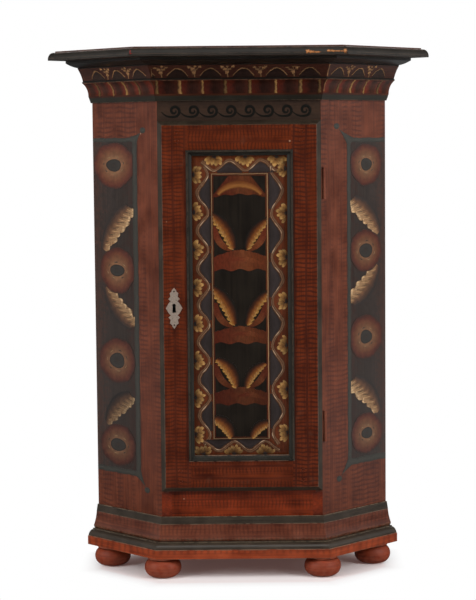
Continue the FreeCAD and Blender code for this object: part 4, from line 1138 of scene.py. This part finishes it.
    def tongue(self, rust: PaintLayer, face: Ground, sign: float, crest: float, tone: float) -> None:
        """Rust stroke that comes down the field's edge and turns in under a leaf, a quadratic Bezier curve.

        Args:
            rust: layer for the stroke.
            face: the raised field.
            sign: -1 at the left edge, 1 at the right one.
            crest: height of the mound below it.
            tone: lightness of the stroke.
        """
        share = np.linspace(0.0, 1.0, 40)[:, None]
        ends = np.array([[self.inside - 5.5, crest + 47], [self.inside - 7.5, crest + 12], [15.0, crest]])
        path = (1 - share) ** 2 * ends[0] + 2 * share * (1 - share) * ends[1] + share ** 2 * ends[2]
        thick = 8.0 * np.sin(math.pi * (0.14 + 0.78 * share[:, 0])) ** 0.7
        sides = (1.15 * thick, 0.5 * thick) if sign > 0 else (0.5 * thick, 1.15 * thick)
        ribbon(rust, face, path * (sign, 1.0), *sides, tone=tone, limits=(-self.inside, self.inside))

    def field_leaves(self, face: Ground) -> None:
        """Pairs of gold leaves that lean in towards the middle of the field.

        Args:
            face: the raised field.
        """
        leaves = (self.layer("leaf_shading", DOOR_LEAF_SHADE), self.layer("leaf_blades", DOOR_LEAF_LOBE),
                  self.layer("leaf_strokes", LINE))
        limits = (-self.inside, self.inside)
        for (out, high), (near, low) in self.leaf_pairs:
            for sign, drop, shade, tone in ((-1.0, 0.0, 21.0, 1.0), (1.0, 9.0, 16.0, 0.95)):
                path = curve((sign * out, high - drop), (sign * near, low), -5.0 * sign, 80)
                leaf(leaves, face, path, 7.0, shade, 9, sign > 0, tone, limits)
        build_all(leaves)


@dataclass
class Cornice:
    """Painted coves of the crown moulding: arches and flowers above, red blocks and gold bars below."""

    board_width: float = BOARD_WIDTH
    lower: Profile = ((10.0, 970.0), (26.0, 997.0), 4.4)
    upper: Profile = ((24.0, 1000.0), (37.5, 1026.0), 1.5)
    block_step: float = 48.0
    block_reach: Pair = (0.03, 0.97)  # lower and upper edge of a block, as shares of the cove's width
    arch_steps: Pair = (65.0, 62.0)
    front_arch: float = 10.0
    # Petals of a flower: distance along from its stem, share of the cove's width, and size.
    petals: Sequence[Triple] = ((-11, 0.8, 3.8), (-5, 0.66, 4.2), (1, 0.86, 3.0), (6, 0.7, 4.0),
                                (11, 0.84, 3.5))
    # Lower edge of the top board's nose as (out, up), and how far its round goes back, up and out.
    nose: Pair = (115.0, 1045.0)
    nose_round: Triple = (18.0, 12.0, 4.5)
    # Worn places on the nose: distance from the middle, half width, distance up the round, half height.
    chips: Sequence[Four] = ((133.0, 5.5, 1.9, 4.0), (140.0, 7.0, 0.9, 2.6), (151.0, 8.5, 0.3, 1.5),
                             (173.0, 4.5, 2.4, 2.6), (181.0, 7.0, 1.9, 2.2), (191.0, 8.0, 1.6, 1.5),
                             (199.0, 4.0, 1.4, 1.0), (204.5, 4.4, 2.2, 4.6))
    rubbed: Sequence[Four] = ((-207.0, 1.7, 4.0, 5.5), (-206.0, 3.2, 0.4, 1.4))
    strength: Mapping[Face, float] = field(default_factory=lambda: {Face.FRONT: 0.8, Face.LEFT: 1.15,
                                                                    Face.RIGHT: 1.0})

    def cove(self, run: Face, profile: Profile) -> Ground:
        """A cove's face along one run of the moulding.

        Args:
            run: the face that the moulding runs along.
            profile: lower edge and upper edge as (out, up), and the depth of the hollow.

        Returns:
            The cove, measured along from the middle of the front, or from the arris of a side board.
        """
        (out, up), (out_top, up_top), depth = profile
        width = math.hypot(out_top - out, up_top - up)
        lean, rise = (out_top - out) / width, (up_top - up) / width
        if run is Face.FRONT:
            return Ground((0.0, -FRONT - out, up), RIGHTWARD, (0.0, -lean, rise), False, width, depth)
        sign = run.sign()
        return Ground((sign * (FRONT_HALF + out * DIAGONAL), -FRONT - out * DIAGONAL, up),
                      (sign * DIAGONAL, DIAGONAL, 0.0), (sign * lean * DIAGONAL, -lean * DIAGONAL, rise),
                      sign < 0, width, depth)

    def reach(self, run: Face, out: float) -> Pair:
        """Ends of a run of the moulding.

        Args:
            run: the face that the moulding runs along.
            out: how far out from that face the painted face stands.

        Returns:
            The first and the last distance along the run.
        """
        if run is Face.FRONT:
            return -FRONT_HALF - out * MITRE, FRONT_HALF + out * MITRE
        return -out * MITRE, self.board_width - 0.5

    def build(self) -> None:
        """Paints both coves on all three runs."""
        paints = {"blocks": BLOCK, "bars": BAR, "half_moons": CORNICE_MOON, "arches": TENDRIL,
                  "flowers": TENDRIL}
        layers = [PaintLayer(f"cornice_{name}", "cabinet", "painted_mouldings", paint)
                  for name, paint in paints.items()]
        blocks, bars, moons, arches, flowers = layers
        for run in Face:
            self.lower_band(run, blocks, bars)
            self.upper_band(run, arches, flowers, moons)
        for profile in (self.lower, self.upper):
            self.worn_mitre(arches, profile)
        build_all(layers)
        self.chipped_nose()

    def chipped_nose(self) -> None:
        """Bare wood and red ground where paint has come off the top board's round nose, near both mitres."""
        back, rise, bulge = self.nose_round
        width = math.hypot(back, rise)
        face = Ground((0.0, -FRONT - self.nose[0], self.nose[1]), RIGHTWARD,
                      (0.0, back / width, rise / width), False, width, -bulge)
        for name, paint, places in (("top_chips", CHIP, self.chips), ("top_rubbed", RUBBED, self.rubbed)):
            bare = PaintLayer(name, "cabinet", "painted_top", paint)
            for index, (place, half, up, tall) in enumerate(places):
                blob(bare, face, (place, up), (half, tall), lobes=4 + index % 4, cut=0.4, turn=place,
                     lift=1.0 + 0.1 * index, tone=1.0 - 0.08 * (index % 3), steps=19)
            bare.build()

    def worn_mitre(self, arches: PaintLayer, profile: Profile) -> None:
        """Pale line where the paint is rubbed off the right mitre, which moves back as the cove comes out.

        Args:
            arches: layer for the line.
            profile: lower edge, upper edge and hollow of the cove.
        """
        ground = self.cove(Face.RIGHT, profile)
        (out, low), (out_top, high), depth = profile
        share = np.linspace(0.1, 0.97, 25)
        hollow = depth * 4 * share * (1 - share) * (high - low) / ground.width
        mitre = -MITRE * (out + share * (out_top - out) - hollow)
        path = np.stack([mitre + 2.2 + 0.4 * sway(share * 40, low), share * ground.width], -1)
        thick = 1.1 + 0.5 * sway(share * 60, high)
        ribbon(arches, ground, path, thick, lift=1.6, tone=1.25)

    def lower_band(self, run: Face, blocks: PaintLayer, bars: PaintLayer) -> None:
        """Blocks that shade from black to red, with a gold bar at each joint.

        Args:
            run: the face that the moulding runs along.
            blocks: layer for the blocks.
            bars: layer for the bars.
        """
        ground = self.cove(run, self.lower)
        front = run is Face.FRONT
        first, last = self.reach(run, self.lower[0][0])
        step = self.block_step if front else 0.86 * self.block_step
        count = round((last - first) / step)
        joints = np.linspace(first, last, count + 1)
        joints[1:-1] += 3.0 * sway(joints[1:-1] * 5, 1.0)
        low, high = (share * ground.width for share in self.block_reach)
        for index in range(count):
            along, up = grid(9, 13)
            left, right = joints[index] + 0.4, joints[index + 1] - 0.4
            blocks.patch(ground, left + along * (right - left), low + up * (high - low), (along, up),
                         tone=(0.9 + 0.2 * (index % 2)) * (1.0 if front else 1.7))
        if front:
            joints[0], joints[-1] = first + 5.0, last - 7.0
        for index, joint in enumerate(joints if front else joints[1:-1]):
            height = np.linspace(low, high, 25)
            share = (height - low) / (high - low)
            path = np.stack([joint + 0.8 * sway(height * 4, joint), height], -1)
            thick = 2.7 + 0.6 * math.sin(2.3 * index) + 1.5 * (1 - share) ** 3 + 0.8 * share ** 3
            dulled = 0.82 - 0.36 * math.cos(1.75 * index + 0.6)
            ribbon(bars, ground, path, thick, lift=1.6, tone=dulled)

    def upper_band(self, run: Face, arches: PaintLayer, flowers: PaintLayer, moons: PaintLayer) -> None:
        """Row of arched tendrils over dark half-moons, with a flower on a stem between them.

        Args:
            run: the face that the moulding runs along.
            arches: layer for the tendrils.
            flowers: layer for the flowers.
            moons: layer for the half-moons.
        """
        ground = self.cove(run, self.upper)
        first, last = self.reach(run, self.upper[0][0])
        front = run is Face.FRONT
        step = self.arch_steps[0 if front else 1]
        start = self.front_arch - 3 * step if front else first + 0.5 * step
        bold = self.strength[run]
        share, deep = grid(40, 7)
        for index in range(math.ceil((last - start) / step)):
            middle = start + index * step
            turn = 2 * share - 1
            rise = ground.width * (0.2 + 0.54 * np.cos(turn * math.pi / 2))
            place = np.clip(middle + turn * 0.32 * step, first + 2.0, last - 1.0)
            foot = 0.06 * ground.width
            moons.patch(ground, place, foot + deep * (rise - foot), (share, deep), tone=0.95 * bold)
            path = np.stack([place[:, 0], rise[:, 0] + 0.6 * sway(place[:, 0] * 3, index)], -1)
            thick = 0.95 + 0.5 * np.cos(turn[:, 0] * math.pi / 2) + 0.35 * sway(place[:, 0] * 2, index)
            line = bold * (1.0 + 0.16 * math.sin(2.2 * index))
            ribbon(arches, ground, path, thick, lift=1.5, tone=line)
            self.flower(flowers, ground, (middle - 0.5 * step, first + 10.0), bold)

    def flower(self, flowers: PaintLayer, ground: Ground, place: Pair, bold: float) -> None:
        """Flower of five petals on forked stems round a bud, each a little unlike the next.

        Args:
            flowers: layer for the flower.
            ground: the cove's face.
            place: distance along the cove, and the least distance at which there is room for a flower.
            bold: strength of the drawing.
        """
        middle, least = place
        if middle < least:
            return
        for along, up, size in self.petals:
            stray = math.sin(0.37 * middle + 2.0 * along)
            top = (middle + along + 1.5 * stray, (up + 0.05 * stray) * ground.width)
            blob(flowers, ground, top, (size, (0.9 + 0.3 * stray) * size), lobes=3, cut=0.35,
                 turn=along + stray, lift=1.3, tone=bold * (1.1 + 0.35 * stray), steps=11)
            fork = curve((middle, 0.4 * ground.width), top, 0.1 * along, 9)
            ribbon(flowers, ground, fork, 0.9, lift=1.2, tone=0.9 * bold)
        blob(flowers, ground, (middle, 0.44 * ground.width), (4.2, 5.4), lobes=5, cut=0.25, turn=middle,
             lift=1.4, tone=1.3 * bold, steps=11)
        stem = np.stack([middle + np.linspace(2.0, 0.0, 9), ground.width * np.linspace(0.1, 0.5, 9)], -1)
        ribbon(flowers, ground, stem, 1.5, lift=1.2, tone=bold)


@dataclass
class Frieze:
    """Paint carried over the board ends: the frieze's dark ground and scroll, and the bottom rail's red."""

    step: float = 37.0
    count: int = 8
    radius: float = 11.5
    low: float = 918.4
    high: float = 956.6
    reach: float = FRONT_HALF - 0.3
    # Red sheet over each end of the bottom rail: its inner end from the middle, its foot and its head.
    rail: Triple = (142.5, 122.4, 170.0)

    def layer(self, name: str, paint: BrushPaint) -> PaintLayer:
        """A layer of paint on the front."""
        return PaintLayer(name, "cabinet", "painted_boards", paint)

    def build(self) -> None:
        """Paints the frieze and the ends of the bottom rail."""
        front = Ground((0.0, -FRONT, 0.0), RIGHTWARD, UPWARD)
        self.grounds(front)
        self.scroll(front)

    def grounds(self, front: Ground) -> None:
        """Dark sheet behind the scroll, and the sheets over the ends of the bottom rail.

        Args:
            front: the boards' face.
        """
        back, ends = self.layer("frieze_ground", FRIEZE_GROUND), self.layer("bottom_rail_ends", RAIL_END)
        along, up = grid(40, 7)
        back.patch(front, (2 * along - 1) * self.reach, self.low + up * (self.high - self.low),
                   (along, up), 0.5)
        near, foot, head = self.rail
        for sign in (-1.0, 1.0):
            place = sign * (near + along * (self.reach - near))
            ends.patch(front, place, foot + up * (head - foot), (along, up), 0.5)
        build_all((back, ends))

    def scroll(self, front: Ground) -> None:
        """Running scroll: each wave is a tail and a spiral whose radius falls with its angle.

        Args:
            front: the boards' face.
        """
        scroll = self.layer("frieze_scroll", SCROLL)
        centre = (self.low + self.high) / 2
        angle = np.linspace(-0.5 * math.pi, 2.2 * math.pi, 90)
        radius = self.radius * (1 - 0.3 * (angle + 0.5 * math.pi) / math.pi)
        for index in range(self.count):
            middle = (index - (self.count - 1) / 2) * self.step + 2.0
            curl = np.stack([middle + radius * np.cos(angle), centre + radius * np.sin(angle)], -1)
            tail = curve((middle - 0.7 * self.step, centre - 2.0), (middle, centre - self.radius), -4.0, 30)
            path = np.concatenate([tail[:-1], curl])
            share = np.linspace(0.0, 1.0, len(path))
            thick = 0.7 + 2.1 * np.sin(math.pi * share) ** 0.8
            ribbon(scroll, front, path, thick, lift=1.2)
        scroll.build()


Dressing = dict[GrainedPaint | BarePine | OldIron, Sequence[str]]


@dataclass
class Woodwork:
    """Finishes of the boards, the mouldings, the feet and the ironwork, by node."""

    door_back: float = FRONT + 0.5
    door_front: float = FRONT + 22.5
    chamfer: float = 9.5
    skin: float = 0.5  # how far behind a board's face its paint begins

    def finishes(self) -> Dressing:
        """Every painted wooden node under the finish that it gets.

        Returns:
            Node names by finish.
        """
        cant = DIAGONAL * (FRONT_HALF + FRONT)
        board_skin, skin, depth = cant - self.skin, FRONT - self.skin, (FRONT - 30, FRONT + 10)
        found = {}
        for side in (Face.LEFT, Face.RIGHT):
            paint = GrainedPaint(
                f"combed_red_paint_on_{side.value}_board", (BARE_BAND, (board_skin, "#3c1608", "#6c341c")),
                (side.sign() * DIAGONAL, -DIAGONAL, 0.0), (cant - 40, cant + 10), Run.UPRIGHT,
                comb=((0.0, 0.0), (board_skin, 0.58)),
                comb_mm=9.5, comb_hex="#35140c", comb_bare=0.45, comb_seam=0.35, edge=AHEAD,
                edge_offset=cant - FRONT)
            found[paint] = [f"side_board_{side.value}"]
        rail = GrainedPaint(
            "combed_red_paint_on_rail", (BARE_BAND, (skin, "#3c1103", "#84300a")), AHEAD, depth,
            comb=((0.0, 0.0), (skin, 0.44)),
            comb_mm=7.0, comb_bare=0.44, comb_seam=0.5, specular=0.3)
        frieze = GrainedPaint(
            "dark_combed_paint_on_frieze", (BARE_BAND, (skin, "#2c2019", "#43301f")), AHEAD, depth,
            comb=((0.0, 0.0), (skin, 0.6)),
            specular=0.25)
        return {**found, rail: ["bottom_rail"], frieze: ["frieze_board"], **self.door(), **self.mouldings()}

    def door(self) -> Dressing:
        """Finishes of the door's wood: bare back, red faces, green chamfers worn at the arris.

        Returns:
            Node names by finish.
        """
        back, front = self.door_back, self.door_front
        face = front - 0.4
        bands = (BARE_BAND, (back + 0.6, "#2e140c", "#4a2216"),
                 (front - self.chamfer, GREEN_DARK, GREEN_LIGHT), (face, RED_DARK, RED_LIGHT))
        comb = ((0.0, 0.0), (face, 0.62))
        wear = ((0.0, 0.0), (front - 1.8, 0.0), (front - 0.9, 0.28), (front - 0.5, 0.28), (front - 0.2, 0.0))
        span = (back - 2, front + 4)
        stiles = GrainedPaint(
            "combed_red_paint_on_stiles", bands, AHEAD, span, Run.UPRIGHT, comb, 7.5, wear=wear,
            specular=0.34)
        rails = GrainedPaint(
            "combed_red_paint_on_rails", bands, AHEAD, span, Run.LEVEL, comb, 6.8, wear=wear, specular=0.3)
        panel = GrainedPaint(
            "dark_paint_on_panel",
            (BARE_BAND, (174.0, "#381609", "#602c10"), (180.5, "#4a2c18", "#6e4a2a"),
             (182.0, "#100c09", "#1f1912")),
            AHEAD, (160.0, 190.0), Run.UPRIGHT, specular=0.28)
        trim = GrainedPaint(
            "green_paint_on_panel_moulding", ((0.0, "#1a1814", "#2b2924"),), AHEAD, (170.0, 192.0),
            Run.UPRIGHT,
            wear=((0.0, 0.0), (187.4, 0.0), (188.1, 0.08), (192.0, 0.08)),
            roughness=0.5, specular=0.15)
        # The bottom moulding has painted highlights, pale lines along its arrises at two heights, so its
        # marks are counted downwards.
        rubbed = replace(
            trim, name="green_paint_with_painted_highlights_on_panel_moulding", direction=(0.0, 0.0, -1.0),
            span=(-252.0, -236.0),
            wear=((-252.0, 0.45), (-248.6, 0.45), (-247.8, 0.0), (-240.0, 0.0), (-239.2, 0.6),
                  (-236.0, 0.6)))
        bold = replace(
            stiles, name="boldly_combed_red_paint_on_hinge_stile",
            comb=((0.0, 0.0), (face, 0.76)),
            comb_mm=8.4, comb_bare=0.28)
        return {stiles: ["door_stile_lock", "door_pegs"], bold: ["door_stile_hinge"],
                rails: ["door_rail_top", "door_rail_bottom"], panel: ["door_panel"],
                trim: [f"panel_moulding_{edge}" for edge in ("left", "right", "top")],
                rubbed: ["panel_moulding_bottom"]}

    def mouldings(self) -> Dressing:
        """Finishes of cornice, plinth, base and feet, in bands up from the floor.

        Returns:
            Node names by finish.
        """
        crown = GrainedPaint(
            "banded_paint_on_crown",
            ((0.0, "#1a1813", "#2a271f"), (967.0, WINE_DARK, WINE_LIGHT), (997.6, BLACK_DARK, BLACK_LIGHT),
             (1001.5, "#29110a", "#401e0f"), (1026.0, BLACK_DARK, BLACK_LIGHT)),
            UPWARD, (955.0, 1030.0),
            wear=((0.0, 0.0), (957.0, 0.2), (958.5, 0.0), (995.5, 0.0), (997.2, 0.3), (998.4, 0.0)),
            specular=0.22)
        bed = GrainedPaint(
            "black_paint_on_bed_moulding", ((0.0, BLACK_DARK, BLACK_LIGHT),), UPWARD, (1020.0, 1045.0))
        top = GrainedPaint(
            "black_green_paint_on_top",
            ((0.0, "#15120f", "#2a251f"), (1056.8, "#361a15", "#523026")),
            UPWARD, (1035.0, 1065.0),
            wear=((0.0, 0.0), (1041.0, 0.12), (1041.8, 0.0), (1044.4, 0.0), (1045.2, 0.14), (1046.4, 0.0),
                  (1054.0, 0.0), (1056.6, 0.3), (1057.6, 0.06)),
            roughness=0.5, specular=0.3, run=Run.FLAT)
        plinth = GrainedPaint(
            "banded_paint_on_plinth",
            ((0.0, "#401a0f", "#6c3722"), (107.0, GREEN_DARK, GREEN_LIGHT)),
            UPWARD, (70.0, 125.0),
            comb=((0.0, 0.36), (107.0, 0.0)),
            comb_mm=8.0,
            wear=((0.0, 0.0), (78.0, 0.2), (80.0, 0.0), (106.2, 0.0), (107.0, 0.5), (107.8, 0.0),
                  (120.8, 0.0), (121.6, 0.5), (122.0, 0.5)),
            wear_hex="#84745e")
        base = GrainedPaint(
            "banded_paint_on_base",
            ((0.0, "#5a3a2a", "#7c5a44"), (41.4, "#68240b", "#9c421c"), (59.4, GREEN_DARK, GREEN_LIGHT)),
            UPWARD, (38.0, 76.0),
            comb=((0.0, 0.0), (41.4, 0.36), (59.4, 0.0)),
            comb_mm=13.0,
            wear=((0.0, 0.0), (58.2, 0.0), (59.2, 0.6), (60.2, 0.0), (71.0, 0.0), (71.8, 0.55),
                  (72.6, 0.2), (73.0, 0.2)),
            wear_hex="#84745e")
        feet = GrainedPaint(
            "red_lead_paint_on_feet", ((0.0, "#5e1c09", "#8e3a1e"),), UPWARD, (0.0, 70.0), roughness=0.56,
            specular=0.22,
            wear=((0.0, 0.8), (1.5, 0.35), (5.0, 0.1), (34.0, 0.05), (41.0, 0.2)),
            wear_hex="#a07a64")
        return {crown: self.named("crown_moulding_"), bed: self.named("bed_moulding_"), top: ["top_board"],
                plinth: self.named("plinth_moulding_"), base: ["base_board"], feet: self.named("foot_")}

    @staticmethod
    def named(start: str) -> list[str]:
        """Nodes whose names begin so."""
        return [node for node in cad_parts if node.startswith(start)]

    def build(self) -> None:
        """Dresses the wooden nodes, bare boards and ironwork included."""
        upright, flat = BarePine("planed_pine_upright", Run.UPRIGHT), BarePine("planed_pine_flat", Run.FLAT)
        nails = OldIron("forged_nail_iron", "#4a4440", "#3a261c", 0.6)
        # The knuckles' red is lighter than the boards' red: painted light that lifts the shade of the gap
        # between door and board where they stand.
        hinge_paint_lightened_against_shade = GrainedPaint(
            "red_paint_over_hinge_iron_lightened_against_shade", ((0.0, "#5a2f22", "#7a4836"),), UPWARD, (0.0, 1000.0), Run.UPRIGHT,
            roughness=0.6, specular=0.1)
        lock = OldIron("filed_lock_iron", "#6a6560", "#46301f", 0.35)
        plate = OldIron("tinned_plate", "#ccb8a8", "#5c4638", 0.12, roughness=0.5)
        others = {
            upright: self.named("back_plank"),
            flat: ["cabinet_floor"] + self.named("shelf_"),
            nails: [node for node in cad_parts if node.endswith(("_nails", "_pins"))],
            hinge_paint_lightened_against_shade: self.named("hinge_"),
            lock: ["lock_bolt", "lock_case", "lock_keep", "lock_spring"],
            plate: ["escutcheon"],
        }
        for finish, dressed in {**self.finishes(), **others}.items():
            material = finish.make()
            for name in dressed:
                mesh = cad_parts[name].data
                mesh.materials.clear()
                mesh.materials.append(material)
            log.info("%s: %s", finish.name, ", ".join(dressed))


@dataclass
class Studio:
    """Pale floor, soft light from above and all round, and the camera of the photograph."""

    lens: float = 108.27
    sensor: float = 36.0
    sight: float = 50.0
    eye: Triple = (-0.00348, -3.75706, 0.8811)
    pitch: float = -0.089
    yaw: float = -0.0004
    roll: float = -0.0092
    paper_half: float = 4.0
    # Distances from the middle, in metres, at which the paper starts to turn white: front, cants, ends, back.
    shaded: Four = (0.2, 0.255, 0.27, 0.21)
    shade_width: float = 0.07
    # Least share of glowing white that the camera sees under the cabinet: painted light that lifts its
    # shadow.
    painted_glow_in_shadow: float = 0.09
    # Name, place, point faced, width and height, and watts of each soft light.
    lamps: Sequence[tuple[str, Triple, Triple, Pair, float]] = (
        ("left_soft_box", (-2.3, -1.6, 1.7), (0.0, -0.1, 0.6), (1.6, 2.0), 66.0),
        ("right_soft_box", (2.3, -1.6, 1.7), (0.0, -0.1, 0.6), (1.6, 2.0), 72.0),
        ("top_soft_box", (0.0, -1.5, 3.4), (0.0, -0.1, 0.5), (3.0, 1.6), 28.0),
        ("left_screen", (-2.6, 0.5, 1.6), (0.0, -0.1, 0.9), (2.0, 1.6), 1.8),
        ("right_screen", (2.6, 0.5, 1.6), (0.0, -0.1, 0.9), (2.0, 1.6), 4.0),
        ("back_soft_box", (0.0, 2.8, 1.9), (0.0, 0.1, 0.5), (2.4, 1.6), 22.0),
    )

    def build(self) -> None:
        """Sets up floor, lights, world and camera."""
        self.floor()
        for lamp in self.lamps:
            self.soft_box(*lamp)
        self.surroundings()
        self.camera()
        bpy.context.scene.view_settings.view_transform = "Standard"

    def floor(self) -> None:
        """Flat sheet of paper under the cabinet, a plane over a grid.

        The camera sees it as white away from the cabinet, and under and beside it as paper with the cabinet's
        shadow. The distance outside the cabinet is the greatest of those from its front, cants, ends and
        back. Reflections in the varnish see it dim in front and brighter to the sides, most of all to the
        right.
        """
        wide, deep = grid(3, 3, -self.paper_half, self.paper_half)
        points = np.stack([wide, deep, np.zeros_like(wide)], -1).reshape(-1, 3)
        mesh = bpy.data.meshes.new("floor")
        mesh.from_pydata(points, [], grid_faces(*wide.shape))
        material, tree, shader = new_material("matt_paper")
        wire(tree, shader, {"Base Color": linear("#f2eeee"), "Roughness": 0.95, "Specular IOR Level": 0.1})
        light = add(tree, "LightPath")
        place = add(tree, "TexCoord").outputs["Object"]
        axes = add(tree, "SeparateXYZ", {0: place}).outputs
        aside = add(tree, "Math", {0: axes["X"]}, operation="ABSOLUTE")
        slant = add(tree, "Math", {0: aside, 1: axes["Y"]}, operation="SUBTRACT")
        front, cant, end, back = self.shaded
        outside = add(tree, "Math", {0: axes["Y"], 1: -1.0, 2: -front}, operation="MULTIPLY_ADD")
        behind = add(tree, "Math", {0: aside, 1: axes["Y"]}, operation="ADD")
        for way, scale, reach in ((slant, DIAGONAL, cant), (aside, 1.0, end), (behind, DIAGONAL, back)):
            edge = add(tree, "Math", {0: way, 1: scale, 2: -reach}, operation="MULTIPLY_ADD")
            outside = add(tree, "Math", {0: outside, 1: edge}, operation="MAXIMUM")
        paper = add(tree, "MapRange", {"Value": outside, "From Max": self.shade_width,
                                       "To Min": self.painted_glow_in_shadow}, interpolation_type="SMOOTHSTEP")
        share = add(tree, "Math", {0: light.outputs["Is Camera Ray"], 1: paper}, operation="MULTIPLY")
        # Where the paper is shaded, its glow is tinted pink: painted red light thrown back from the cabinet
        # into its shadow.
        open_floor = add(tree, "MapRange", {"Value": paper, "From Min": self.painted_glow_in_shadow, "From Max": 0.4})
        painted_bounce_tint = add(tree, "MixRGB", {"Fac": open_floor, "Color1": linear("#f0b8b0"), "Color2": WHITE})
        white = add(tree, "Emission", {"Color": painted_bounce_tint, "Strength": 1.0})
        lamplit = add(tree, "Math", {0: axes["X"], 1: 0.3, 2: aside}, operation="MULTIPLY_ADD")
        gleam = add(tree, "MapRange", {"Value": lamplit, "From Min": 0.45, "From Max": 1.95, "To Min": 0.05,
                                       "To Max": 0.55})
        dim = add(tree, "Emission", {"Color": WHITE, "Strength": gleam})
        shown = add(tree, "MixShader", {0: share, 1: shader, 2: white})
        both = add(tree, "MixShader", {0: light.outputs["Is Glossy Ray"], 1: shown, 2: dim})
        wire(tree, tree.nodes["Material Output"], {"Surface": both})
        mesh.materials.append(material)
        floor = into_scene("floor", mesh)

    def soft_box(self, name: str, place: Triple, target: Triple, size: Pair, watts: float) -> None:
        """Adds a rectangular soft light.

        Args:
            name: the light's name.
            place: where it stands.
            target: point that it faces.
            size: its width and height.
            watts: its power.
        """
        data = bpy.data.lights.new(name, "AREA")
        data.shape = "RECTANGLE"
        data.size, data.size_y = size
        data.energy = watts
        lamp = into_scene(name, data)
        lamp.location = place
        lamp.rotation_mode = "QUATERNION"
        lamp.rotation_quaternion = (Vector(target) - Vector(place)).to_track_quat("-Z", "Y")

    def surroundings(self) -> None:
        """Dim room for light and reflections, and plain white where the camera looks past the paper."""
        world = bpy.data.worlds.new("dim_room")
        bpy.context.scene.world = world
        world.use_nodes = True
        tree = world.node_tree
        seen = add(tree, "LightPath").outputs["Is Camera Ray"]
        strength = add(tree, "MapRange", {"Value": seen, "To Min": 0.07, "To Max": 1.0})
        wire(tree, tree.nodes["Background"], {"Color": WHITE, "Strength": strength})

    def camera(self) -> None:
        """Places the camera by its eye point, pitch, yaw and roll."""
        data = bpy.data.cameras.new("camera")
        data.lens = self.lens
        data.sensor_width = self.sensor
        data.clip_end = self.sight
        ahead = Vector((math.sin(self.yaw) * math.cos(self.pitch), math.cos(self.yaw) * math.cos(self.pitch),
                        math.sin(self.pitch)))
        level = Vector((math.cos(self.yaw), -math.sin(self.yaw), 0.0))
        upright = level.cross(ahead)
        right = math.cos(self.roll) * level + math.sin(self.roll) * upright
        up = math.cos(self.roll) * upright - math.sin(self.roll) * level
        camera = into_scene("camera", data)
        camera.matrix_world = Matrix.Translation(self.eye) @ Matrix((right, up, -ahead)).transposed().to_4x4()
        bpy.context.scene.camera = camera


LEFT_BOARD = SideBoard(
    Face.LEFT, 68.0, 881.0, 201.0,
    ((42.7, 900.0), (43.2, 170.5)),
    (((131.0, 830.0), (64.0, 47.0), (23.5, 13.2)), ((125.0, 615.6), (54.0, 48.0), (23.0, 12.5)),
     ((129.0, 429.8), (57.0, 47.0), (23.5, 16.5)), ((130.0, 254.5), (56.0, 44.0), (24.5, 13.6))),
    (((166.0, 657.0), (88.0, 743.0), 33.0, True, 1.0), ((160.0, 580.0), (80.0, 506.0), 29.0, False, 0.88),
     ((164.0, 296.0), (88.0, 358.0), 25.0, True, 0.56)),
    fade=(1.08, 0.11))
RIGHT_BOARD = SideBoard(
    Face.RIGHT, 83.0, 877.0, 220.0,
    ((46.6, 905.0), (50.5, 189.5)),
    (((136.0, 827.5), (50.0, 43.0), (17.5, 13.3)), ((134.0, 651.5), (50.0, 44.0), (21.0, 15.2)),
     ((134.0, 473.9), (53.0, 46.0), (19.0, 14.7)), ((136.0, 273.9), (50.0, 43.0), (18.0, 12.0))),
    (((174.0, 686.0), (94.0, 755.0), 27.0, True, 1.0), ((170.0, 620.0), (92.0, 549.0), 29.0, False, 0.95),
     ((174.0, 316.0), (96.0, 387.0), 33.0, True, 0.95)),
    fade=(0.92, 0.02), line_width=11.5, level_half=(4.4, 6.6))


def main() -> None:
    """Builds the cabinet's looks and the studio."""
    logging.basicConfig(level=logging.INFO, format="%(name)s: %(message)s")
    Studio().build()
    Woodwork().build()
    for part in (LEFT_BOARD, RIGHT_BOARD, DoorPanel(), Cornice(), Frieze()):
        part.build()


if __name__ == "__main__":
    main()
